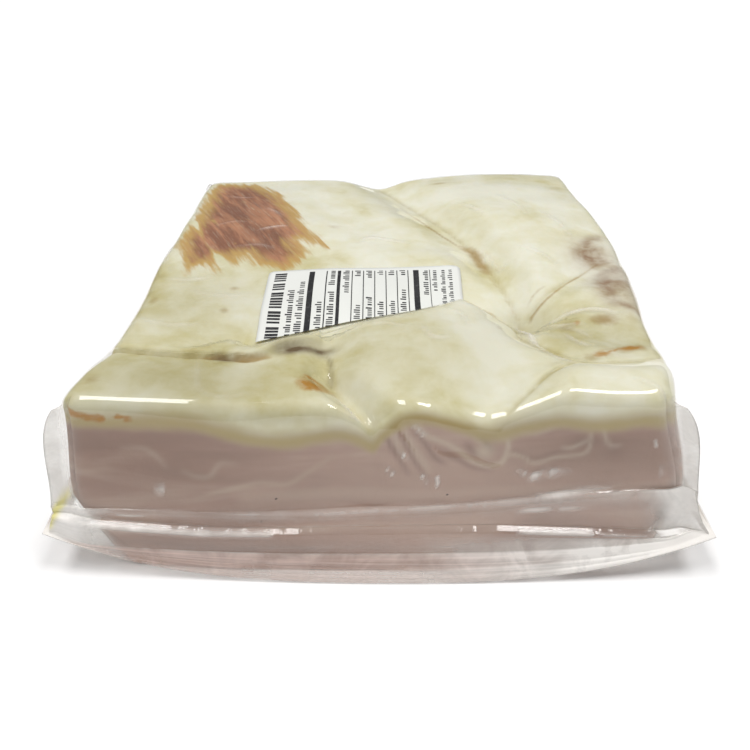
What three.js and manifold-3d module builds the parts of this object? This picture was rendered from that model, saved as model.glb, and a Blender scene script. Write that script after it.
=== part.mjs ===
// A slab of cured pork back fat, vacuum-packed in a clear bag, with a paper label on top.
// The bag clings to the slab, so bag and slab are one solid: the slab with its folded top,
// the thin skirt where the bag's two films meet, and a web of film at each upright corner.
// Millimetres, +Z up, the cut front face towards -Y, resting on z = 0 below the bag's centre.

import * as THREE from "three";
import { mergeVertices } from "three/addons/utils/BufferGeometryUtils.js";
import Module from "manifold-3d";

const wasm = await Module();
wasm.setup();

// Driving dimensions of the slab. Each outline gives the plan of the slab at one height.
const SLAB_THICKNESS = 55;
const SEAM_HEIGHT = 24;
const EDGE_RADIUS = 5;
const CORNER_RADIUS = 7;
const TOP_OUTLINE = {
  frontLeft: [-94, -103.5],
  frontRight: [86.5, -102],
  backRight: [99, 105],
  backLeft: [-88, 97],
};
const SEAM_OUTLINE = {
  frontLeft: [-95.5, -109],
  frontRight: [95, -106],
  backRight: [100, 109],
  backLeft: [-91, 101],
};
const BASE_OUTLINE = {
  frontLeft: [-82, -111],
  frontRight: [87, -109.5],
  backRight: [96, 106],
  backLeft: [-87, 99],
};
// Below the seam the front rolls out to the base, which bows forwards between its corners.
const BASE_BOW = 4;
const ROLL = 1.9;
const RIGHT_BULGES = [{ at: 0, halfLength: 100, reach: 8 }, { at: -73, halfLength: 30, reach: 3.5 }];
const LEFT_BULGES = [{ at: -55, halfLength: 58, reach: -5 }, { at: 25, halfLength: 80, reach: -2.2 }];
// The rounded underside is drawn this far below the floor and cut flat there.
const SETTLE = 1;
const FLOOR_BLOCK = 400;

// Driving dimensions of the bag: its flat outline, its film, and how its edge hangs.
const FILM_THICKNESS = 0.8;
const BAG_OUTLINE = {
  frontLeft: [-103, -112],
  frontRight: [103, -113.5],
  backRight: [105, 118.5],
  backLeft: [-100, 116.5],
};
const BAG_BOW = { front: 6, right: 3, back: 0, left: 5.5 };
const SKIRT_CORNER_HEIGHT = 15;
const SKIRT_CORNER_SHARPNESS = 3.2;
const SKIRT_SIDE_HEIGHT = 12;
const SKIRT_FRONT_HEIGHT = 0.6;
const SKIRT_HANG = 2.4;
const WEB_DROP = 1;
const WEB_PROFILE = {
  frontLeft: { shoulder: 0.9, waist: 0.42 },
  frontRight: { shoulder: 0.83, waist: 0.41 },
  backRight: { shoulder: 0.8, waist: 0.7 },
  backLeft: { shoulder: 0.8, waist: 0.7 },
};

// Driving dimensions of the label, a rectangle whose near edge is tucked into a fold.
const LABEL = {
  length: 75,
  width: 45,
  thickness: 0.4,
  gap: 0.5,
  tuck: 1.5,
  turn: 6.7,
  farLeft: [-41.8, -15.6],
};

// Broad masses of fat that raise the top face.
const MOUNDS = [
  { at: [-45, 38], radii: [48, 62], rise: 3 },
  { at: [62, 52], radii: [40, 62], rise: 6 },
  { at: [12, -72], radii: [42, 30], rise: 4.5 },
  { at: [-56, -90], radii: [40, 16], rise: 3.5 },
  { at: [66, -94], radii: [34, 13], rise: 7 },
];

// Folds between the masses. Each runs along its path from its first depth to its last,
// and its two widths set how steep it is on the left and on the right hand of the path.
const FOLDS = {
  backValley: {
    path: [[-4, 106], [2, 95], [25, 49.5], [38, 21], [46, -2], [51, -26], [54, -43]],
    depth: [4, 8],
    widths: [10, 13],
  },
  labelTuck: {
    path: [
      [-41, -60], [-27, -54], [-6, -45.5], [16, -34.5], [29, -27], [35, -28.5], [41, -35], [47, -41], [54, -43],
    ],
    depth: [6, 8],
    widths: [15, 6],
  },
  frontFlap: {
    path: [
      [-98, -67.5], [-84, -69], [-73.5, -70.5], [-57, -72.3], [-47, -74], [-42, -75], [-36, -72], [-30, -66],
      [-20, -62],
    ],
    depth: [0.8, 4],
    widths: [2.5, 11],
  },
  pitToSide: {
    path: [[54, -43], [56, -33], [63.5, -25.5], [73, -17], [82, -9], [94, -1], [110, 8]],
    depth: [5, 1.5],
    widths: [9, 9],
  },
  pitToRight: {
    path: [[54, -43], [64, -55], [80, -58], [104, -62]],
    depth: [5, 1.5],
    widths: [14, 11],
  },
  pitToLip: {
    path: [[54, -43], [50, -57], [58, -66], [66, -77]],
    depth: [5, 3.5],
    widths: [8, 7],
  },
  behindLip: {
    path: [
      [34, -108], [38, -100], [44.5, -94], [51, -87.5], [58, -82.5], [64, -79], [77, -77.5], [92, -74],
      [99, -72],
    ],
    depth: [4, 1.5],
    widths: [9, 7],
  },
  frontNotch: {
    path: [[-18, -64], [-16, -74], [-15, -84], [-10, -93], [-3.5, -100], [3, -108]],
    depth: [6, 6.5],
    widths: [12, 6],
  },
};
const FOLD_BLEND = 3;

// Height of the top's front edge along x, with its notch and its raised lip. The top face
// eases into it between the two distances in front of the middle. Behind the edge its form
// runs slanting, by the first slant left of the span and by the second right of it.
const FRONT_EDGE = {
  profile: [
    [-96, 57], [-85, 58.4], [-68, 57.7], [-52, 57], [-38, 56], [-23, 56], [-13, 55.6], [-7, 52.2],
    [-2, 49], [1, 51.5], [6, 55.5], [12, 56.2], [20, 54], [26, 52.3], [31, 51.4], [35, 52.4], [40, 54.7],
    [45, 57], [50, 59.3], [54, 60.3], [60, 59.8], [66, 59.3], [72, 59.2], [78, 59.2], [84, 58], [94, 55],
  ],
  ease: [64, 101],
  slant: [0.7, -0.4],
  slantSpan: [0, 32],
};

// How finely each solid is faceted.
const SLAB_SEGMENTS = { x: 38, y: 42, z: 7 };
const CROWDING = 0.28;
const SKIRT_RINGS = [-0.6, 0, 0.3, 0.6, 0.85, 1];
const SKIRT_SPOKES = 84;
const WEB_SEGMENTS = 8;
const LABEL_SEGMENTS = { length: 22, width: 13 };
const FOLD_SAMPLES = 24;
const EDGE_SAMPLES = 175;
const MERGE_TOLERANCE = 1e-3;

const { clamp, lerp, smoothstep, degToRad } = THREE.MathUtils;

// A smooth line of points through a few of them.
function smoothLine(points, samples) {
  return new THREE.SplineCurve(points.map(([x, y]) => new THREE.Vector2(x, y))).getPoints(samples);
}

for (const fold of Object.values(FOLDS)) {
  fold.line = smoothLine(fold.path, FOLD_SAMPLES);
}
const frontEdgeLine = smoothLine(FRONT_EDGE.profile, EDGE_SAMPLES);

// A hump of height 1 at the middle that fades to nothing one half length away.
function hump(position, { at, halfLength }) {
  const away = clamp(Math.abs(position - at) / halfLength, 0, 1);
  return (1 - away * away) ** 2;
}

// The plan point of an outline's four-cornered patch at s, t from -1 to 1.
function patchPoint(outline, s, t) {
  const u = (s + 1) / 2;
  const v = (t + 1) / 2;
  const along = (axis) => {
    const front = lerp(outline.frontLeft[axis], outline.frontRight[axis], u);
    const back = lerp(outline.backLeft[axis], outline.backRight[axis], u);
    return lerp(front, back, v);
  };
  return [along(0), along(1)];
}

// Where a plan point lies by a line: how far from it, how far along it, and on which hand.
function besideLine(line, x, y) {
  const nearest = { distance: Infinity, along: 0, onLeft: false };
  for (let i = 0; i + 1 < line.length; i += 1) {
    const [from, to] = [line[i], line[i + 1]];
    const [dx, dy] = [to.x - from.x, to.y - from.y];
    const share = clamp(((x - from.x) * dx + (y - from.y) * dy) / (dx * dx + dy * dy), 0, 1);
    const distance = Math.hypot(x - from.x - share * dx, y - from.y - share * dy);
    if (distance < nearest.distance) {
      nearest.distance = distance;
      nearest.along = (i + share) / (line.length - 1);
      nearest.onLeft = dx * (y - from.y) - dy * (x - from.x) > 0;
    }
  }
  return nearest;
}

// The second coordinate of a line that runs towards +X, at x or at its nearer end.
function lineAt(line, x) {
  const after = clamp(line.findIndex((point) => point.x > x), 1, line.length - 1);
  const [from, to] = x < line.at(-1).x ? [line[after - 1], line[after]] : line.slice(-2);
  return lerp(from.y, to.y, clamp((x - from.x) / (to.x - from.x), 0, 1));
}

// Depth of one fold at a plan point.
function foldDepth({ line, depth, widths }, x, y) {
  const { distance, along, onLeft } = besideLine(line, x, y);
  const width = onLeft ? widths[0] : widths[1];
  return lerp(...depth, along) * Math.exp(-((distance / width) ** 2));
}

// Height of the slab's top face over a plan point.
function topHeight(x, y) {
  let height = SLAB_THICKNESS;
  for (const { at, radii, rise } of MOUNDS) {
    const spread = ((x - at[0]) / radii[0]) ** 2 + ((y - at[1]) / radii[1]) ** 2;
    height += rise * Math.exp(-spread);
  }
  const depths = Object.values(FOLDS).map((fold) => foldDepth(fold, x, y) ** FOLD_BLEND);
  height -= depths.reduce((sum, depth) => sum + depth, 0) ** (1 / FOLD_BLEND);
  const { ease, slant, slantSpan } = FRONT_EDGE;
  const beside = x + Math.max(y + ease[1], 0) * lerp(...slant, smoothstep(x, ...slantSpan));
  return lerp(height, lineAt(frontEdgeLine, beside), smoothstep(-y, ...ease));
}

// Crowds evenly spaced stations from -1 to 1 towards both ends, where the faces round over.
function crowdToEnds(s) {
  return s * (1 + CROWDING - CROWDING * s * s);
}

// Half the size of the block that is laid out as the slab.
const HALF_BLOCK = [TOP_OUTLINE.frontRight[0], TOP_OUTLINE.backRight[1], SLAB_THICKNESS / 2];

// Draws places near an upright corner of the block in to a round one.
function roundCorner(places) {
  const inside = places.map((place, i) => CORNER_RADIUS - (1 - Math.abs(place)) * HALF_BLOCK[i]);
  if (Math.min(...inside) <= 0) {
    return places;
  }
  const keep = Math.max(...inside) / Math.hypot(...inside);
  return places.map((place, i) => place - Math.sign(place) * ((1 - keep) * inside[i]) / HALF_BLOCK[i]);
}

// The base's plan, bowed forwards in front.
function basePlan(s, t) {
  const [x, y] = patchPoint(BASE_OUTLINE, s, t);
  return [x, y - BASE_BOW * (1 - s * s) * clamp(-t, 0, 1) ** 2];
}

// The slab's plan at a share of its height: base, seam and top outlines in turn.
function slabPlan(across, along, level) {
  const [s, t] = roundCorner([across, along]);
  const seamLevel = SEAM_HEIGHT / SLAB_THICKNESS;
  const down = clamp(1 - level / seamLevel, 0, 1);
  const up = smoothstep(level, seamLevel, 1);
  const [other, shareX, shareY] = level > seamLevel
    ? [patchPoint(TOP_OUTLINE, s, t), up, up]
    : [basePlan(s, t), down, 1 - (1 - down) ** ROLL];
  const seam = patchPoint(SEAM_OUTLINE, s, t);
  const [x, y] = [lerp(seam[0], other[0], shareX), lerp(seam[1], other[1], shareY)];
  const bulges = s > 0 ? RIGHT_BULGES : LEFT_BULGES;
  return [x + s * bulges.reduce((sum, bulge) => sum + bulge.reach * hump(y, bulge), 0), y];
}

// Moves every vertex of a geometry and keeps only its closed, merged surface.
function reshape(geometry, move) {
  const position = geometry.getAttribute("position");
  for (let i = 0; i < position.count; i += 1) {
    position.setXYZ(i, ...move(position.getX(i), position.getY(i), position.getZ(i)));
  }
  geometry.deleteAttribute("normal");
  geometry.deleteAttribute("uv");
  return mergeVertices(geometry, MERGE_TOLERANCE);
}

// The slab: a block with rounded edges, laid out by its outlines and folded on top.
function slabGeometry() {
  const { x: nx, y: ny, z: nz } = SLAB_SEGMENTS;
  return reshape(new THREE.BoxGeometry(2, 2, 2, nx, ny, nz), (s, t, w) => {
    const flat = [s, t, w].map((share, i) => crowdToEnds(share) * HALF_BLOCK[i]);
    const core = flat.map((value, i) => {
      const limit = HALF_BLOCK[i] - EDGE_RADIUS;
      return clamp(value, -limit, limit);
    });
    const out = new THREE.Vector3(...flat.map((value, i) => value - core[i])).setLength(EDGE_RADIUS);
    const round = core.map((value, i) => (value + out.getComponent(i)) / HALF_BLOCK[i]);
    const level = (round[2] + 1) / 2;
    const [x, y] = slabPlan(round[0], round[1], level);
    return [x, y, level * (topHeight(x, y) + SETTLE) - SETTLE];
  });
}

// Height of the bag's skirt at its outer edge: on the floor in front, raised at the corners.
function skirtEdgeHeight(s, t) {
  const corner = Math.min(Math.abs(s), Math.abs(t)) ** SKIRT_CORNER_SHARPNESS;
  const facing = t === -1 ? SKIRT_FRONT_HEIGHT : SKIRT_SIDE_HEIGHT;
  return lerp(facing, SKIRT_CORNER_HEIGHT, corner);
}

// The point s, t that lies some share of the way round an outline, counted from its front left
// corner and along its front first.
function roundOutline(share) {
  const side = Math.floor(share * 4) % 4;
  const along = crowdToEnds(2 * (share * 4 - Math.floor(share * 4)) - 1);
  return [[along, -1], [1, along], [-along, 1], [-1, -along]][side];
}

// The bag's edge: its four-cornered outline, bowed outwards between the corners.
function bagEdge(s, t) {
  const [x, y] = patchPoint(BAG_OUTLINE, s, t);
  const bowX = (s > 0 ? BAG_BOW.right : BAG_BOW.left) * s * (1 - t * t);
  const bowY = (t > 0 ? BAG_BOW.back : BAG_BOW.front) * t * (1 - s * s);
  return [x + bowX, y + bowY];
}

// The sheet of two films: rings that start inside the slab, leave it at the seam and hang
// to the bag's edge.
function sheetGeometry() {
  const rings = SKIRT_RINGS.map((_, i) => i + 1);
  const below = [0, ...rings].map((radius) => new THREE.Vector2(radius, -FILM_THICKNESS / 2));
  const above = below.map(({ x, y }) => new THREE.Vector2(x, -y)).reverse();
  const disc = new THREE.LatheGeometry([...below, ...above], SKIRT_SPOKES);
  return reshape(disc, (sine, rise, cosine) => {
    const ring = Math.round(Math.hypot(sine, cosine)) - 1;
    if (ring < 0) {
      return [0, 0, rise + SEAM_HEIGHT];
    }
    const [s, t] = roundOutline((Math.atan2(sine, cosine) / (2 * Math.PI) + 1) % 1);
    const [seamX, seamY] = slabPlan(s, t, SEAM_HEIGHT / SLAB_THICKNESS);
    const [edgeX, edgeY] = bagEdge(s, t);
    const out = SKIRT_RINGS[ring];
    const fallen = 1 - (1 - Math.max(out, 0)) ** SKIRT_HANG;
    const hang = lerp(SEAM_HEIGHT, skirtEdgeHeight(s, t), fallen);
    return [lerp(seamX, edgeX, out), lerp(seamY, edgeY, out), rise + hang];
  });
}

// The web of film that stands out from one upright corner of the slab down to the bag's corner.
function webGeometry(cornerName) {
  const corner = TOP_OUTLINE[cornerName];
  const [innerX, innerY] = corner.map((value) => value - Math.sign(value) * EDGE_RADIUS);
  const [outerX, outerY] = BAG_OUTLINE[cornerName];
  const { shoulder, waist } = WEB_PROFILE[cornerName];
  const reach = Math.hypot(outerX - innerX, outerY - innerY);
  const top = topHeight(innerX, innerY) - WEB_DROP;
  const shape = new THREE.Shape();
  shape.moveTo(0, SEAM_HEIGHT);
  shape.lineTo(reach, SKIRT_CORNER_HEIGHT);
  shape.bezierCurveTo(reach * waist, SEAM_HEIGHT, reach * shoulder, top, 0, top);
  const options = { depth: FILM_THICKNESS, bevelEnabled: false, curveSegments: WEB_SEGMENTS };
  const web = new THREE.ExtrudeGeometry(shape, options);
  web.translate(0, 0, -FILM_THICKNESS / 2).rotateX(Math.PI / 2);
  web.rotateZ(Math.atan2(outerY - innerY, outerX - innerX)).translate(innerX, innerY, 0);
  return reshape(web, (x, y, z) => [x, y, z]);
}

// A point of the label, counted from its far left corner. Its near edge stops short of the fold.
function labelPoint(along, across) {
  const turn = degToRad(LABEL.turn);
  const x = LABEL.farLeft[0] + along * LABEL.length * Math.cos(turn);
  const farY = LABEL.farLeft[1] + along * LABEL.length * Math.sin(turn);
  const nearY = Math.max(farY - LABEL.width, lineAt(FOLDS.labelTuck.line, x) + LABEL.tuck);
  return [x, lerp(farY, nearY, across)];
}

// The label: a thin plate that lies on the slab's top.
function labelGeometry() {
  const { length, width } = LABEL_SEGMENTS;
  const plate = new THREE.BoxGeometry(1, 1, LABEL.thickness, length, width, 1);
  return reshape(plate, (along, across, z) => {
    const [x, y] = labelPoint(along + 0.5, 0.5 - across);
    return [x, y, topHeight(x, y) + LABEL.gap + LABEL.thickness / 2 + z];
  });
}

// A closed geometry as a solid that can be joined to others.
function solidOf(geometry) {
  const vertProperties = new Float32Array(geometry.getAttribute("position").array);
  const triVerts = new Uint32Array(geometry.index.array);
  return new wasm.Manifold(new wasm.Mesh({ numProp: 3, vertProperties, triVerts }));
}

// Several closed geometries joined into one and cut flat at the floor. Where films seal a hollow
// between them it is filled: of the skins that are left, only the largest is kept.
function joinedOnFloor(geometries) {
  const block = new THREE.BoxGeometry(FLOOR_BLOCK, FLOOR_BLOCK, FLOOR_BLOCK);
  const floor = reshape(block, (x, y, z) => [x, y, z - FLOOR_BLOCK / 2]);
  const whole = geometries.map(solidOf).reduce((sum, next) => sum.add(next));
  const skins = whole.subtract(solidOf(floor)).decompose();
  const outer = skins.reduce((most, next) => (next.volume() > most.volume() ? next : most));
  const { vertProperties, triVerts } = outer.getMesh();
  const geometry = new THREE.BufferGeometry();
  geometry.setAttribute("position", new THREE.BufferAttribute(vertProperties, 3));
  geometry.setIndex(new THREE.BufferAttribute(triVerts, 1));
  geometry.computeVertexNormals();
  return geometry;
}

// A mesh with its name and finish.
function named(name, geometry, material) {
  const mesh = new THREE.Mesh(geometry, material);
  mesh.name = name;
  return mesh;
}

const fatInFilm = new THREE.MeshStandardMaterial({ color: 0xddd6be, roughness: 0.25, metalness: 0 });
const paper = new THREE.MeshStandardMaterial({ color: 0xeeeeec, roughness: 0.5, metalness: 0 });

const webs = Object.keys(BAG_OUTLINE).map(webGeometry);
const bag = joinedOnFloor([slabGeometry(), sheetGeometry(), ...webs]);
const vacuumPack = new THREE.Group();
vacuumPack.add(named("sealed_bag", bag, fatInFilm));
vacuumPack.add(named("label", labelGeometry(), paper));

export default vacuumPack;
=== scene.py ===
"""A slab of cured pork back fat, vacuum-packed in a clear bag with a printed paper label.

Sizes are in millimetres, +Z up, with the cut front face towards -Y. Meshes are made in metres.
"""

from __future__ import annotations

import logging
import math
from dataclasses import dataclass, field
from enum import Enum, auto
from typing import Callable, Sequence

import bmesh
import bpy
import numpy as np
from mathutils import Matrix, Vector

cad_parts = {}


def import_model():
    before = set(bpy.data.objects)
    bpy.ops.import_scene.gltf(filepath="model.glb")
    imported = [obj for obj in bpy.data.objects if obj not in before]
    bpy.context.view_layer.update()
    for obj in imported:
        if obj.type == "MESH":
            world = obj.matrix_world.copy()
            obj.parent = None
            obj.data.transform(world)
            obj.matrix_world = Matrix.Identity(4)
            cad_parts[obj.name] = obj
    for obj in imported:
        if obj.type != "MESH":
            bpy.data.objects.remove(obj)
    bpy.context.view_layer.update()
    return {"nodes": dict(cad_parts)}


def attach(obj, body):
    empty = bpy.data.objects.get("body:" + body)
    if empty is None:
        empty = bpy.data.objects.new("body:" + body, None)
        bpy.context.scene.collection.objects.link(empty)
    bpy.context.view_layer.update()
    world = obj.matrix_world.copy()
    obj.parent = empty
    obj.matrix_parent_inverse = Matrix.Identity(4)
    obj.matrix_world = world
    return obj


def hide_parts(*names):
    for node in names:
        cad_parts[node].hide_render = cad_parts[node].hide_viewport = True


log = logging.getLogger("vacuum_pack")

MM = 0.001
FRONT_EDGE_SPAN = (96.0, 99.0)
CLOSEST_STEP = 0.35

Array = np.ndarray
Point = tuple[float, float]
Colour = tuple[float, float, float, float]


def lerp(start: Array | float, end: Array | float, share: Array | float) -> Array | float:
    """Blends two values by a share from 0 to 1."""
    return start + (end - start) * share


def smoothstep(value: Array, low: float, high: float) -> Array:
    """Rises smoothly from 0 at low to 1 at high."""
    share = np.clip((value - low) / (high - low), 0.0, 1.0)
    return share * share * (3.0 - 2.0 * share)


def bell(value: Array, middle: float, width: float) -> Array:
    """Gives 1 at a middle value and falls off softly on both sides of it."""
    return np.exp(-(((value - middle) / width) ** 2))


def paint(red: float, green: float, blue: float) -> Colour:
    """Turns screen values from 0 to 255 into a linear colour.

    Args:
        red: Red value.
        green: Green value.
        blue: Blue value.

    Returns:
        The colour as linear red, green, blue and alpha.
    """
    linear = [v / 12.92 if v <= 0.04045 else ((v + 0.055) / 1.055) ** 2.4
              for v in (red / 255.0, green / 255.0, blue / 255.0)]
    return (linear[0], linear[1], linear[2], 1.0)


@dataclass(frozen=True)
class Outline:
    """A four-cornered plan outline."""

    front_left: Point
    front_right: Point
    back_right: Point
    back_left: Point

    def at(self, s: Array, t: Array) -> tuple[Array, Array]:
        """Gives the plan point of the outline's patch.

        Args:
            s: Place across, from -1 on the left to 1 on the right.
            t: Place along, from -1 in front to 1 behind.

        Returns:
            The x and y of each point.
        """
        u, v = (s + 1.0) / 2.0, (t + 1.0) / 2.0
        front = [lerp(a, b, u) for a, b in zip(self.front_left, self.front_right)]
        back = [lerp(a, b, u) for a, b in zip(self.back_left, self.back_right)]
        return lerp(front[0], back[0], v), lerp(front[1], back[1], v)


@dataclass(frozen=True)
class Path:
    """A smooth line through a few points of a plane."""

    points: tuple[Point, ...]
    samples: int = 24

    def line(self) -> Array:
        """Samples the line evenly from its first point to its last."""
        knots = np.array(self.points, dtype=float)
        last = len(knots) - 1
        place = np.linspace(0.0, last, self.samples + 1)
        first = np.minimum(place.astype(int), last - 1)
        w = (place - first)[:, None]
        before, start = knots[np.maximum(first - 1, 0)], knots[first]
        end, after = knots[first + 1], knots[np.minimum(first + 2, last)]
        pull, push = (end - before) / 2.0, (after - start) / 2.0
        return ((2 * start - 2 * end + pull + push) * w**3
                + (-3 * start + 3 * end - 2 * pull - push) * w**2 + pull * w + start)

    def beside(self, x: Array, y: Array) -> tuple[Array, Array, Array]:
        """Finds where points lie by the line.

        Args:
            x: First coordinate of each point.
            y: Second coordinate of each point.

        Returns:
            The distance to the line, the share of the way along it, and whether the point
            lies on its left hand.
        """
        line = self.line()
        nearest = np.full(np.shape(x), np.inf)
        along = np.zeros(np.shape(x))
        left = np.zeros(np.shape(x), dtype=bool)
        for i, ((ax, ay), (bx, by)) in enumerate(zip(line[:-1], line[1:])):
            dx, dy = bx - ax, by - ay
            share = np.clip(((x - ax) * dx + (y - ay) * dy) / (dx * dx + dy * dy), 0.0, 1.0)
            away = np.hypot(x - ax - share * dx, y - ay - share * dy)
            nearer = away < nearest
            nearest = np.where(nearer, away, nearest)
            along = np.where(nearer, (i + share) / (len(line) - 1), along)
            left = np.where(nearer, dx * (y - ay) - dy * (x - ax) > 0.0, left)
        return nearest, along, left


@dataclass(frozen=True)
class Fold:
    """A valley along a path, with its own depth at each end and width on each hand."""

    path: Path
    depth: tuple[float, float]
    widths: tuple[float, float]

    def at(self, x: Array, y: Array) -> Array:
        """Gives the fold's depth at plan points."""
        away, along, left = self.path.beside(x, y)
        width = np.where(left, self.widths[0], self.widths[1])
        return lerp(*self.depth, along) * np.exp(-((away / width) ** 2))


@dataclass(frozen=True)
class Mark:
    """A soft stroke along a path, such as a stain, a crease line or a wrinkle."""

    path: Path
    width: float
    strength: float = 1.0
    fade: float = 0.0

    def at(self, x: Array, y: Array) -> Array:
        """Gives the stroke's strength at points, weaker towards its ends if it fades."""
        away, along, _ = self.path.beside(x, y)
        ends = 1.0 - self.fade * np.abs(2.0 * along - 1.0) ** 2
        return self.strength * ends * np.exp(-((away / self.width) ** 2))


@dataclass(frozen=True)
class Spot:
    """A soft round mark."""

    at_point: Point
    radii: Point
    strength: float = 1.0

    def at(self, x: Array, y: Array) -> Array:
        """Gives the spot's strength at points."""
        spread = ((x - self.at_point[0]) / self.radii[0]) ** 2
        spread = spread + ((y - self.at_point[1]) / self.radii[1]) ** 2
        return self.strength * np.exp(-spread)


@dataclass(frozen=True)
class Bulge:
    """A sideways swelling of the slab's wall."""

    at: float
    half_length: float
    reach: float

    def out(self, position: Array) -> Array:
        """Gives how far the wall stands out at positions along it."""
        away = np.clip(np.abs(position - self.at) / self.half_length, 0.0, 1.0)
        return self.reach * (1.0 - away * away) ** 2


@dataclass(frozen=True)
class Ripple:
    """Soft unevenness made of a few crossing waves."""

    wavelength: float
    height: float
    seed: int
    waves: int = 8

    def at(self, x: Array, y: Array) -> Array:
        """Gives the height of the unevenness at points, between about -height and height."""
        rng = np.random.RandomState(self.seed)
        total = np.zeros(np.shape(x))
        for _ in range(self.waves):
            turn, phase = rng.uniform(0.0, 2.0 * math.pi, 2)
            pace = 2.0 * math.pi / (self.wavelength * rng.uniform(0.7, 1.5))
            total = total + np.sin((x * math.cos(turn) + y * math.sin(turn)) * pace + phase)
        return self.height * total / math.sqrt(2.0 * self.waves)


def trace(*points: Point) -> Path:
    """Makes a path through points."""
    return Path(tuple(points))


def gather(marks: Sequence[Mark | Spot], x: Array, y: Array) -> Array:
    """Takes the strongest of several marks at each point."""
    total = np.zeros(np.shape(x))
    for mark in marks:
        total = np.maximum(total, mark.at(x, y))
    return total


def heap(marks: Sequence[Mark | Spot], x: Array, y: Array) -> Array:
    """Adds several marks up at each point."""
    total = np.zeros(np.shape(x))
    for mark in marks:
        total = total + mark.at(x, y)
    return total


def inside_patch(corners: Sequence[Point], x: Array, y: Array) -> Array:
    """Gives the distance to a closed outline, positive inside it.

    Args:
        corners: The outline's points in turn.
        x: First coordinate of each point.
        y: Second coordinate of each point.

    Returns:
        The signed distance of each point.
    """
    nearest = np.full(np.shape(x), np.inf)
    within = np.zeros(np.shape(x), dtype=bool)
    for (ax, ay), (bx, by) in zip(corners, [*corners[1:], corners[0]]):
        dx, dy = bx - ax, by - ay
        share = np.clip(((x - ax) * dx + (y - ay) * dy) / (dx * dx + dy * dy), 0.0, 1.0)
        nearest = np.minimum(nearest, np.hypot(x - ax - share * dx, y - ay - share * dy))
        if dy != 0.0:
            crosses = ((ay > y) != (by > y)) & (x < dx * (y - ay) / dy + ax)
            within = within ^ crosses
    return np.where(within, nearest, -nearest)


def in_front(y: Array) -> Array:
    """Gives 1 on the pack's front face and 0 behind its front edge."""
    return smoothstep(-y, *FRONT_EDGE_SPAN)


def stations(half: float, segments: int, end: float = 8.0, end_segments: int = 12) -> Array:
    """Places along one side from -1 to 1, closer together where the slab rounds over.

    Args:
        half: Half the side's length.
        segments: How many steps the side has.
        end: Length of the close steps at each end.
        end_segments: How many close steps each end has.

    Returns:
        The places in turn.
    """
    steps = np.linspace(CLOSEST_STEP, 1.0, end_segments)
    near = np.concatenate([[0.0], np.cumsum(steps * end / steps.sum())]) - half
    middle = np.linspace(end - half, half - end, segments - 2 * end_segments + 1)[1:-1]
    return np.concatenate([near, middle, -near[::-1]]) / half


# The slab's form

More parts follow.
